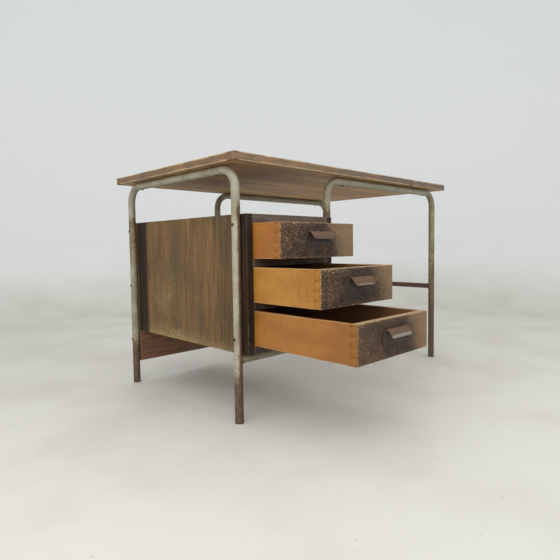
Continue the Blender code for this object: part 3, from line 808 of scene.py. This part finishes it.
def weather_on_side(points):
    """Where the stain has gone pale: along the lower edge, and in a patch low down at the back."""
    _, y, z = points.T
    lower_edge = 1 - eased(z - CASE_LOW.z, 0.0, 0.07)
    patch = np.exp(-((z - 0.33) / 0.10) ** 2 - ((y - 0.30) / 0.15) ** 2)
    return np.clip(0.8 * lower_edge + 0.7 * patch, 0, 1)


plywood = stained_plywood("stained_plywood")
for node in ("pedestal_side_left", "pedestal_side_right"):
    made = worn_board(node, plywood, rounding=1.0, chip=1.6)
    carry(made.data, "shade", side_stain_and_painted_shade(points_of(made.data)))
    carry(made.data, "weathered", weather_on_side(points_of(made.data)))
    print(made.name, len(made.data.vertices), "points")

# %% [markdown]
# ## Dark stained softwood
#
# The pedestal's other boards, its dividers and the board that braces the back legs were stained
# a dark red-brown and varnished. The varnish has worn through along the front arrises, where
# knees and drawers rub, and shows a line of bare pinkish wood.

# %% Softwood finish


def stained_softwood(name, stain="4A3529", deep="30221A", worn="5C4434"):
    """Old dark stain on pine: a low sheen, soft grain and arrises rubbed to bare wood."""
    material, tree, shader = new_finish(name)
    streak = blobs(tree, (120.0, 7.0, 7.0), detail=4.0)
    fine = blobs(tree, 3.2, detail=3.0)
    cloud = blobs(tree, 75.0, detail=4.0)
    wood = coat(tree, stain, deep, streak, 0.36, 0.66)
    wood = coat(tree, wood, worn, weighed(tree, (cloud, 0.75), (fine, 0.35)), 0.50, 0.74, 0.7)
    wood = coat(tree, wood, "7D6450", fine, 0.62, 0.78, 0.5)
    rubbed = weighed(tree, ("rub", 1.0), (fine, 0.50), (cloud, 0.55))
    wood = coat(tree, wood, "8E6C54", rubbed, 1.40, 1.62, 0.75)
    finish_surface(tree, shader, wood, (fine, 0.46, 0.64), [(streak, 0.10), (fine, 0.06)])
    return material


softwood = stained_softwood("stained_softwood")
back_wood = stained_softwood("stained_softwood_back", "73503A", "583A28", "7E563A")
dusty_wood = stained_softwood("stained_softwood_dusty", "5E4B3E", "44352B", "76614F")
worn_board("pedestal_top", dusty_wood, rounding=0.8, chip=0.6)
for node in ("pedestal_bottom", "divider_middle", "divider_upper"):
    worn_board(node, softwood, rounding=0.8, chip=0.6)
worn_board("pedestal_back", back_wood, rounding=1.0, chip=1.0)
for node in ("runner_middle_left", "runner_middle_right", "runner_upper_left", "runner_upper_right"):
    coat_plain_node(node, softwood)
print("carcass boards done")

# %% [markdown]
# ## The top
#
# The top is a blockboard with a brown veneer on both faces, its grain running along the desk,
# and a strip of solid wood, the lipping, nailed round its edges. The underside is dry and bare.
# The upper side was stained darker, and elbows, books and spills have spotted and worn it. Both
# are one finish, and the direction that the surface looks tells them apart. The lipping is
# rubbed and dented all along, tan where hands wore the stain off near the sitter's left, and
# greyer to the right.

# %% Veneer and lipping finishes


def dry_veneer(name):
    """Sliced brown veneer: dry and bare below, stained dark, spotted and worn on the upper side."""
    material, tree, shader = new_finish(name)
    broad = blobs(tree, (620.0, 60.0, 60.0), detail=3.0)
    vein = blobs(tree, (260.0, 12.0, 12.0), detail=4.0, roughness=0.55, twist=0.5)
    pore = blobs(tree, (26.0, 1.8, 1.8), detail=3.0)             # real pores are 0.2 mm wide
    wood = coat(tree, "9C7346", "BD925F", broad, 0.35, 0.66)
    wood = coat(tree, wood, "74553A", vein, 0.50, 0.74, 0.6)
    wood = coat(tree, wood, "664B34", pore, 0.58, 0.76, 0.5)
    blot = blobs(tree, (150.0, 110.0, 110.0), detail=6.0, roughness=0.6)     # spills and elbows
    flake = blobs(tree, (22.0, 7.0, 7.0), detail=5.0, roughness=0.65)
    used = coat(tree, "6F553A", "876A49", broad, 0.35, 0.66)
    used = coat(tree, used, "4A3828", weighed(tree, (blot, 0.8), (vein, 0.3)), 0.52, 0.72, 0.8)
    used = coat(tree, used, "A08763", weighed(tree, (blot, -0.7), (flake, 1.0)), 0.22, 0.42, 0.7)
    used = coat(tree, used, "382A1F", pore, 0.56, 0.76, 0.5)
    looks = add_node(tree, "NewGeometry").outputs["Normal"]
    upward = add_node(tree, "SeparateXYZ", {0: looks}).outputs["Z"]
    wood = coat(tree, wood, used, upward, 0.5, 0.9)
    finish_surface(tree, shader, wood, (vein, 0.52, 0.68), [(pore, 0.08), (vein, 0.06)])
    return material


def rubbed_lipping(name, grain_axis, tan, grey_tone):
    """Solid lipping, its stain rubbed thin: tan and grey, dented, with dark dirt in the grain."""
    material, tree, shader = new_finish(name)
    long_way = [4.0, 4.0, 4.0]
    long_way[grain_axis] = 34.0
    streak = blobs(tree, tuple(long_way), detail=5.0, roughness=0.65)
    dent = blobs(tree, 4.5, detail=4.0, roughness=0.65)
    cloud = blobs(tree, 60.0, detail=4.0)
    grey = weighed(tree, ("grey", 1.0), (cloud, 0.35))
    wood = coat(tree, tan, grey_tone, grey, 0.25, 0.85)
    wood = coat(tree, wood, "4E3B2A", streak, 0.44, 0.62, 0.8)
    wood = coat(tree, wood, "8C5C32", weighed(tree, (cloud, 0.6), (dent, 0.4)), 0.50, 0.62, 0.6)
    rubbed = weighed(tree, ("rub", 0.55), (dent, 1.0), (cloud, 0.6))
    wood = coat(tree, wood, "BBA27B", rubbed, 1.06, 1.30, 0.8)
    wood = coat(tree, wood, "3B2B1D", dent, 0.57, 0.68, 0.85)
    finish_surface(tree, shader, wood, (dent, 0.50, 0.70), [(dent, 0.30), (streak, 0.12)])
    return material


coat_plain_node("top_core", dry_veneer("dry_veneer"))
lipping_x = rubbed_lipping("rubbed_lipping_long", 0, "7F6446", "6C5E52")
lipping_y = rubbed_lipping("rubbed_lipping_short", 1, "745A3E", "675241")
print("top finishes done")

# %% [markdown]
# ## Lipping strips
#
# Each edge of the top has its own strip. The front strip was pieced from two lengths, so a joint
# shows at three quarters of its length. Solid wood dents more than it chips, so these edges are
# rounder than those of the boards.

# %% Lipping strips
LIPPING_JOINT = 0.76              # of the desk's length, from the left
JOINT_GAP = 0.5 * MM


def lipping_strip(name, low, high, finish, node):
    """A worn strip between two corners, greyer to the right and rubbed along, not at its ends."""
    mesh = worn_mesh(name, low, high, 2.2 * MM, 1.6 * MM, 9 * MM)
    points = points_of(mesh)
    along = int(high[1] - low[1] > high[0] - low[0])
    from_end = np.minimum(points[:, along] - low[along], high[along] - points[:, along])
    carry(mesh, "rub", rub_of(points, low, high) * eased(from_end, 4 * MM, 22 * MM))
    carry(mesh, "grey", eased(points[:, 0], LEFT_X + 0.15, RIGHT_X - 0.30))
    return piece(name, mesh, finish, "desk", [node])


for side, finish in (("back", lipping_x), ("left", lipping_y), ("right", lipping_y)):
    lipping_strip(f"lipping_{side}_worn", *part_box("lipping_" + side), finish, "lipping_" + side)
strip_low, strip_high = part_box("lipping_front")
joint_x = strip_low.x + (strip_high.x - strip_low.x) * LIPPING_JOINT
long_end = (joint_x, strip_high.y, strip_high.z)
short_start = (joint_x + JOINT_GAP, strip_low.y, strip_low.z)
lipping_strip("lipping_front_long", strip_low, long_end, lipping_x, "lipping_front")
lipping_strip("lipping_front_short", short_start, strip_high, lipping_x, "lipping_front")
print("front lipping is joined at x", round(joint_x, 3))

# %% [markdown]
# ## Blackened steel
#
# Screws and nails are plain steel that has gone brown-black. Steel keeps its metallic value, but
# its skin of oxide makes it dark and rough. A screw is a turned profile: a domed head, a shank
# and a point. Its slot is cut out of the head with a thin blade.

# %% Steel finish and screw shape


def blackened_steel(name):
    """Oxidised mild steel: dark, rough, with a trace of brown rust in the hollows."""
    material, tree, shader = new_finish(name, Metallic=0.75)
    fine = blobs(tree, 1.2, detail=3.0)
    finish_surface(tree, shader, coat(tree, "3E3731", "54402F", fine, 0.4, 0.65), (fine, 0.45, 0.7),
                   [(fine, 0.03)])
    return material


SCREW_SIDES = 24
DOME_STEPS = 6


def screw_mesh(name, head_radius, head_height, shank_radius, shank_length):
    """A domed slotted screw that stands up its own +Z, its seat at the origin."""
    profile = [(0.0, head_height)]
    for step in range(1, DOME_STEPS + 1):
        angle = math.pi / 2 * step / DOME_STEPS
        height = head_height * (0.2 + 0.8 * math.cos(angle))
        profile.append((head_radius * math.sin(angle), height))
    profile += [(head_radius, 0.0), (shank_radius, 0.0),
                (shank_radius, -shank_length + 2 * shank_radius), (0.0, -shank_length)]
    body = spun(name + "_body", profile, SCREW_SIDES, steel)
    bm = bmesh.new()
    bmesh.ops.create_cube(bm, size=1.0)
    bmesh.ops.scale(bm, vec=(3 * head_radius, 0.24 * head_radius, head_height), verts=bm.verts)
    bmesh.ops.translate(bm, vec=(0, 0, head_height * 1.05), verts=bm.verts)
    blade = linked("blade", ended(bm, "blade"))
    mesh = cut_mesh(body, blade, "DIFFERENCE", 40)
    bpy.data.objects.remove(blade)
    return mesh


steel = blackened_steel("blackened_steel")
print("steel ready")

# %% [markdown]
# ## Setting the screws
#
# A screw in the frame tells where the new one goes: its box gives the middle and the seat, and
# its name tells which way its head looks. No two slots are left at the same angle.

# %% Screws
HEAD_LOOKS = {"top_screw": (0, 0, -1), "pull": (0, -1, 0), "left": (-1, 0, 0), "mid": (1, 0, 0)}
SLOT_TURN = 1.7                   # radians from one screw's slot to the next one's


def head_direction(node):
    """The way a screw's head looks, from the first word of the list that its name has."""
    return Vector(next(way for word, way in HEAD_LOOKS.items() if word in node))


def set_screw(node, body, number):
    """A slotted screw that stands for a plain one."""
    low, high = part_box(node)
    looks = head_direction(node)
    axis = max(range(3), key=lambda i: abs(looks[i]))
    spans = [high[i] - low[i] for i in range(3) if i != axis]
    head_radius = max(spans) / 2
    head_height, shank_radius = 0.56 * head_radius, 0.43 * head_radius
    seat = (low + high) / 2
    top = high[axis] if looks[axis] > 0 else low[axis]
    seat[axis] = top - looks[axis] * head_height
    length = high[axis] - low[axis] - head_height
    mesh = screw_mesh(node, head_radius, head_height, shank_radius, length)
    upright = looks.to_track_quat("Z", "Y").to_matrix().to_4x4()
    turn = upright @ Matrix.Rotation(SLOT_TURN * number, 4, "Z")
    mesh.transform(Matrix.Translation(seat) @ turn)
    return piece(node + "_slotted", mesh, steel, body, [node])


screw_nodes = sorted(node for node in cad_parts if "screw" in node)
for number, node in enumerate(screw_nodes):
    body = "desk" if "pull" not in node else node.split("_pull")[0]
    set_screw(node, body, number)
print(len(screw_nodes), "screws set")

# %% [markdown]
# ## Nails
#
# Nails hold the four strips of lipping. Their heads are small, flat and almost level with the
# wood, and no row of them is quite straight. All the heads are one mesh.

# %% Lipping nails
NAIL_RADIUS = 1.3 * MM
NAIL_SUNK = 0.25 * MM
NAIL_STRAY = 2.5 * MM             # how far a nail may be above or below the middle of the strip
NAILS_ALONG = {"front": 8, "back": 8, "left": 5, "right": 5}
NAIL_END = 22 * MM                # first and last nail from the strip's ends


def nail_head(bm, place, looks):
    """A low round head on a face of the lipping."""
    turn = looks.to_track_quat("Z", "Y").to_matrix().to_4x4()
    made = bmesh.ops.create_uvsphere(bm, u_segments=14, v_segments=8, radius=NAIL_RADIUS)
    flatten = Matrix.Diagonal((1, 1, 0.35, 1))
    bmesh.ops.transform(bm, matrix=Matrix.Translation(place) @ turn @ flatten, verts=made["verts"])


def nails():
    """All the nail heads of the lipping as one mesh."""
    bm = bmesh.new()
    for side, looks in (("front", Vector((0, -1, 0))), ("back", Vector((0, 1, 0))),
                        ("left", Vector((-1, 0, 0))), ("right", Vector((1, 0, 0)))):
        low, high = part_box("lipping_" + side)
        along = 0 if looks.x == 0 else 1
        for index in range(NAILS_ALONG[side]):
            share = index / (NAILS_ALONG[side] - 1)
            place = (low + high) / 2
            place[along] = low[along] + NAIL_END + (high[along] - low[along] - 2 * NAIL_END) * share
            place.z += NAIL_STRAY * noise.noise(Vector((index * 3.3, looks.x, looks.y * 2)))
            across = 1 - along
            face = (high if looks[across] > 0 else low)[across]
            place[across] = face - looks[across] * NAIL_SUNK
            nail_head(bm, place, looks)
    return piece("lipping_nails", ended(bm, "lipping_nails"), steel, "desk")


print(len(nails().data.vertices), "points in the nail heads")

# %% [markdown]
# ## Beech, varnished and warm
#
# The drawer boxes are beech, which is pinkish straw when new and has gone orange under its
# coat of varnish. Beech shows no bold rings. What tells it from other woods is its flecks:
# short dark dashes, all along the grain. Real ones are about 2 mm long and 0.2 mm wide, so they
# are drawn a little larger. The upper edges were rubbed pale.

# %% Beech finish


def varnished_beech(name, straw, red):
    """Old varnished beech: warm orange, satin, flecked along its length, paler on the edges, with
    painted shade on the inner faces.
    """
    material, tree, shader = new_finish(name)
    broad = blobs(tree, (55.0, 160.0, 48.0), detail=3.0)
    ripple = blobs(tree, (30.0, 14.0, 34.0), detail=3.0)         # the figure across the grain
    streak = blobs(tree, (5.0, 110.0, 5.0), detail=4.0)
    fleck = blobs(tree, (1.6, 9.0, 1.6), detail=2.0)
    wood = coat(tree, straw, red, weighed(tree, (broad, 0.8), ("front_end", 0.20)), 0.32, 0.60)
    wood = coat(tree, wood, "7F4F1C", weighed(tree, (ripple, 0.75), (streak, 0.3)), 0.50, 0.70, 0.45)
    wood = coat(tree, wood, "7A4A20", fleck, 0.60, 0.76, 0.5)
    # painted shade: the inner face of a drawer side is darkened as the shade inside the drawer
    wood = coat(tree, wood, "5A3E2A", weighed(tree, ("inside", 1.0), (broad, 0.5)), 0.60, 1.20, 0.8)
    rubbed = weighed(tree, ("rub", 1.0), (streak, 0.4), (fleck, 0.3))
    wood = coat(tree, wood, "B99A70", rubbed, 1.16, 1.44, 0.55)
    finish_surface(tree, shader, wood, (streak, 0.40, 0.52), [(fleck, 0.04), (streak, 0.05)])
    return material


def hardboard(name):
    """Pressed brown fibreboard: matt and nearly even, with fine fibres, its dark tone partly painted
    shade inside the drawer.
    """
    material, tree, shader = new_finish(name)
    fibre = blobs(tree, 2.5, detail=4.0)
    cloud = blobs(tree, 120.0, detail=3.0)
    base = coat(tree, "4E3828", "3E2B20", cloud, 0.4, 0.7)
    base = coat(tree, base, "644A35", fibre, 0.5, 0.7, 0.4)
    finish_surface(tree, shader, base, (fibre, 0.68, 0.78), [(fibre, 0.05)])
    return material


# The three boxes were made from different boards, so each drawer has its own two tones.
BEECH_TONES = {
    "upper": ("9F6926", "8F571D"),
    "middle": ("A7742C", "97631F"),
    "lower": ("966224", "86531C"),
}
beech = {position: varnished_beech("varnished_beech_" + position, *tones)
         for position, tones in BEECH_TONES.items()}
bottom_board = hardboard("hardboard")
print("beech for", ", ".join(beech))

# %% [markdown]
# ## Drawer fronts
#
# A front is the same beech, but its face was stained dark brown. The stain is scratched and
# speckled with light wood, rubbed off the arrises, and paler towards the right end. The mask for
# the stain is the direction that the surface looks: only the face that looks out of the desk has
# it. The edge all round shows the beech.

# %% Drawer front finish


def stained_face(name, red_patch, beech_tone):
    """Dark stain on the outer face of a beech board: dry, speckled, scratched and paler towards the
    right.
    """
    material, tree, shader = new_finish(name, Specular_IOR_Level=0.25)
    looks = add_node(tree, "NewGeometry").outputs["Normal"]
    towards = add_node(tree, "SeparateXYZ", {0: looks}).outputs["Y"]
    cloud = blobs(tree, (60.0, 60.0, 42.0), detail=4.0)
    mottle = blobs(tree, (11.0, 11.0, 8.0), detail=5.0, roughness=0.65)
    speck = blobs(tree, 2.7, detail=3.0, roughness=0.6)  # real specks are 0.5 mm: drawn coarser
    streak = blobs(tree, (90.0, 4.0, 4.0), detail=4.0)
    stain = coat(tree, "403027", "281D18", mottle, 0.36, 0.64)
    reddish = weighed(tree, (cloud, 0.8), (mottle, 0.3))
    stain = coat(tree, stain, "643823", reddish, 0.54, 0.74, red_patch)
    lighter_right = weighed(tree, ("lighter_right", 1.0), (cloud, 0.5), (mottle, 0.9))
    stain = coat(tree, stain, "8A7052", lighter_right, 0.92, 1.75, 0.9)
    stain = coat(tree, stain, "2B211B", streak, 0.55, 0.75, 0.3)
    light = weighed(tree, (speck, 1.2), (mottle, 0.35), (cloud, 0.35), ("rub", 0.10),
                    ("scuffed", 0.12))
    stain = coat(tree, stain, "7E5F42", light, 1.02, 1.22, 0.75)
    stain = coat(tree, stain, "B59A76", light, 1.20, 1.32, 0.8)
    stain = coat(tree, stain, "20160F", speck, 0.46, 0.34, 0.75)
    pale = weighed(tree, ("rub", 1.0), (mottle, 0.8), (speck, 0.4))
    stain = coat(tree, stain, "AE9270", pale, 1.46, 1.68, 0.85)
    dirt = weighed(tree, (mottle, 0.6), (speck, 0.4))
    edge = coat(tree, beech_tone, "8A5A2C", dirt, 0.48, 0.66, 0.5)
    upper = add_node(tree, "SeparateXYZ", {0: looks}).outputs["Z"]
    edge = coat(tree, edge, "A08868", upper, 0.5, 0.9, 0.75)
    colour = coat(tree, edge, stain, towards, -0.55, -0.85)
    finish_surface(tree, shader, colour, (mottle, 0.46, 0.68), [(speck, 0.06), (mottle, 0.08)])
    return material


# How red the patches are, and where the paler part starts, as a share of the width from the left.
RED_PATCH = {"upper": 0.7, "middle": 0.35, "lower": 0.35}
LIGHTER_FROM = {"upper": 0.50, "middle": 0.60, "lower": 0.58}


def place_on_front(points, low, high):
    """How far across and how far up the front each point is, from 0 to 1."""
    return ((points - np.array(low)) / np.array(high - low))[:, [0, 2]].T


def lighter_on_front(across, rise, start):
    """How much paler the stain is: more towards the right end, and less near the lower edge."""
    return eased(across + 0.10 * rise, start - 0.06, start + 0.50)


def scuffs_on_front(across, rise):
    """Where knees and shoes scuffed the face most: its left end and its upper half."""
    ends = 1 - eased(across, 0.10, 0.55) + 0.6 * eased(across, 0.7, 1.0)
    return np.clip(ends - 0.5 * eased(1 - rise, 0.5, 1), 0, 1)


def drawer_box(position, body):
    """The sides, back and bottom of a drawer."""
    for side in ("left", "right"):
        node = f"{body}_side_{side}"
        board = worn_board(node, beech[position], body, 0.8, 0.5, carved=True)
        points, (low, high) = points_of(board.data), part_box(node)
        carry(board.data, "front_end", 1 - eased(points[:, 1], low.y, low.y + 0.12))
        inner_x = high.x if side == "left" else low.x
        # `inside` is 1 on the inner face, where the finish paints the shade inside the drawer
        carry(board.data, "inside", 1 - eased(abs(points[:, 0] - inner_x), 0.5 * MM, 3 * MM))
    worn_board(body + "_back", beech[position], body, 0.8, 0.4)
    coat_plain_node(body + "_bottom", bottom_board)


for position in DRAWERS:
    body = "drawer_" + position
    finish = stained_face("stained_face_" + position, RED_PATCH[position], BEECH_TONES[position][1])
    front = worn_board(body + "_front", finish, body, 1.1, 1.2, 10.0, carved=True)
    across, rise = place_on_front(points_of(front.data), *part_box(body + "_front"))
    carry(front.data, "lighter_right", lighter_on_front(across, rise, LIGHTER_FROM[position]))
    carry(front.data, "scuffed", scuffs_on_front(across, rise))
    drawer_box(position, body)
    print(body, "front has", len(front.data.vertices), "points")

# %% [markdown]
# ## Drawer pulls
#
# Each pull was stamped from one sheet of steel: a back plate, and a narrower tongue bent over
# from its upper edge into a lip for the fingers. The sheet is walked from the plate's lower edge
# up, round a tight bend and down the lip. At each step it has a width, which makes the rounded
# corners. The grid gets its thickness from a Solidify modifier and soft edges from a Bevel.

# %% Pull finish


def pull_enamel(name, bare_share):
    """Brown enamel on pressed steel: satin, darkened by hands, worn to bright steel on the lip, which
    is painted lighter as lit while the plate is painted darker as shaded.
    """
    material, tree, shader = new_finish(name, Specular_IOR_Level=0.35)
    fine = blobs(tree, 2.4, detail=3.0)
    cloud = blobs(tree, 14.0, detail=3.0)
    colour = coat(tree, "44342C", "302520", cloud, 0.38, 0.66)
    # painted light and shade: the lip is laid lighter and redder than the plate, which stays dark as
    # in the lip's shade
    colour = coat(tree, colour, "5C402B", weighed(tree, ("lip", 1.0), (cloud, 0.3)), 0.30, 1.0, 0.9)
    colour = coat(tree, colour, "2C211C", fine, 0.56, 0.70, 0.6)
    grip = weighed(tree, ("grip", 1.0), (fine, 0.70), (cloud, 0.25))
    start = 1.62 - 0.42 * bare_share               # more of the lip is bare from a lower start
    colour = coat(tree, colour, "958F84", grip, start, start + 0.14)
    bare = coat(tree, "000000", "FFFFFF", grip, start, start + 0.14)
    tree.links.new(bare, shader.inputs["Metallic"])
    finish_surface(tree, shader, colour, (fine, 0.46, 0.60), [(fine, 0.05), (bare, -0.06)])
    return material


BARE_SHARE = {"upper": 0.30, "middle": 1.15, "lower": 2.0}
print("the most worn lip is that of the", max(BARE_SHARE, key=BARE_SHARE.get), "pull")

# %% Pull shape
SHEET = 1.5 * MM
CROWN_RADIUS = 3.0 * MM           # the tight bend at the top of the plate
LIP_ARC = 34 * MM
LIP_START = math.radians(30)      # slope of the lip below level, where it leaves the bend
LIP_END = math.radians(75)
LIP_WIDTH = 92 * MM
PLATE_CORNER = 6 * MM
LIP_CORNER = 9 * MM
LIP_CORNER_FILL = 0.98            # of the corner, so that the last row keeps some width
GRIP_DEPTH = 13 * MM              # fingers wear the lip this far in from its edge
ROW_STEP = 1.6 * MM
CROWN_STEPS = 8
COLUMNS = 40


def pull_rows(plate_height):
    """The sheet's middle line from below: how far out and up each row is, and how far along."""
    rows = []
    straight = plate_height - CROWN_RADIUS
    for i in range(math.ceil(straight / ROW_STEP) + 1):
        rows.append((0.0, min(i * ROW_STEP, straight)))
    bend_end = math.pi / 2 + LIP_START
    for i in range(1, CROWN_STEPS + 1):
        angle = bend_end * i / CROWN_STEPS
        rows.append((CROWN_RADIUS * (1 - math.cos(angle)), straight + CROWN_RADIUS * math.sin(angle)))
    out, up = rows[-1]
    steps = math.ceil(LIP_ARC * (LIP_END - LIP_START) / ROW_STEP)
    for i in range(1, steps + 1):
        slope = LIP_START + (LIP_END - LIP_START) * i / steps
        rows.append((out + LIP_ARC * (math.sin(slope) - math.sin(LIP_START)),
                     up - LIP_ARC * (math.cos(LIP_START) - math.cos(slope))))
    walked = [0.0]
    for (out_a, up_a), (out_b, up_b) in zip(rows, rows[1:]):
        walked.append(walked[-1] + math.hypot(out_b - out_a, up_b - up_a))
    return rows, walked


def half_width(at, plate_end, length, plate_half):
    """Half the sheet's width at a distance along it, with its rounded corners."""
    def corner(left, radius):
        left = min(left, radius)
        return radius - math.sqrt(max(0.0, radius ** 2 - (radius - left) ** 2))
    if at <= plate_end:
        width = plate_half - corner(at, PLATE_CORNER)
        above = plate_end - at
        return max(LIP_WIDTH / 2, width - corner(above, plate_half - LIP_WIDTH / 2))
    return LIP_WIDTH / 2 - LIP_CORNER_FILL * corner(length - at, LIP_CORNER)


def pull_mesh(name, low, high):
    """A pull within the box of its node."""
    rows, walked = pull_rows(high.z - low.z - SHEET / 2)
    plate_end = high.z - low.z - SHEET / 2 - CROWN_RADIUS
    middle_x, back_y = (low.x + high.x) / 2, high.y - SHEET / 2
    bm = bmesh.new()
    grid = []
    grips, lips = [], []
    for (out, up), at in zip(rows, walked):
        half = half_width(at, plate_end, walked[-1], (high.x - low.x) / 2)
        line = []
        for column in range(COLUMNS + 1):
            share = 2 * column / COLUMNS - 1
            line.append(bm.verts.new((middle_x + share * half, back_y - out, low.z + up)))
            nearness = 1 - (walked[-1] - at) / GRIP_DEPTH
            grips.append(max(0.0, nearness) * (1 - 0.35 * abs(share) ** 4))
            lips.append(float(at > plate_end))
        grid.append(line)
    for line, after in zip(grid, grid[1:]):
        for column in range(COLUMNS):
            bm.faces.new((line[column], line[column + 1], after[column + 1], after[column]))
    mesh = ended(bm, name)
    carry(mesh, "grip", grips)
    carry(mesh, "lip", lips)
    return mesh


for position in DRAWERS:
    body = "drawer_" + position
    node = body + "_pull"
    mesh = pull_mesh(node + "_sheet", *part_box(node))
    finish = pull_enamel("pull_enamel_" + position, BARE_SHARE[position])
    made = piece(node + "_sheet", mesh, finish, body, [node])
    thickness = made.modifiers.new("sheet", "SOLIDIFY")
    thickness.thickness = SHEET
    thickness.offset = 0.0
    thickness.use_even_offset = True
    softened = made.modifiers.new("soft_edges", "BEVEL")
    softened.width = 0.35 * MM
    softened.segments = 2
    softened.limit_method = "ANGLE"
    softened.angle_limit = math.radians(50)
    print(made.name, len(mesh.vertices), "points before thickness")
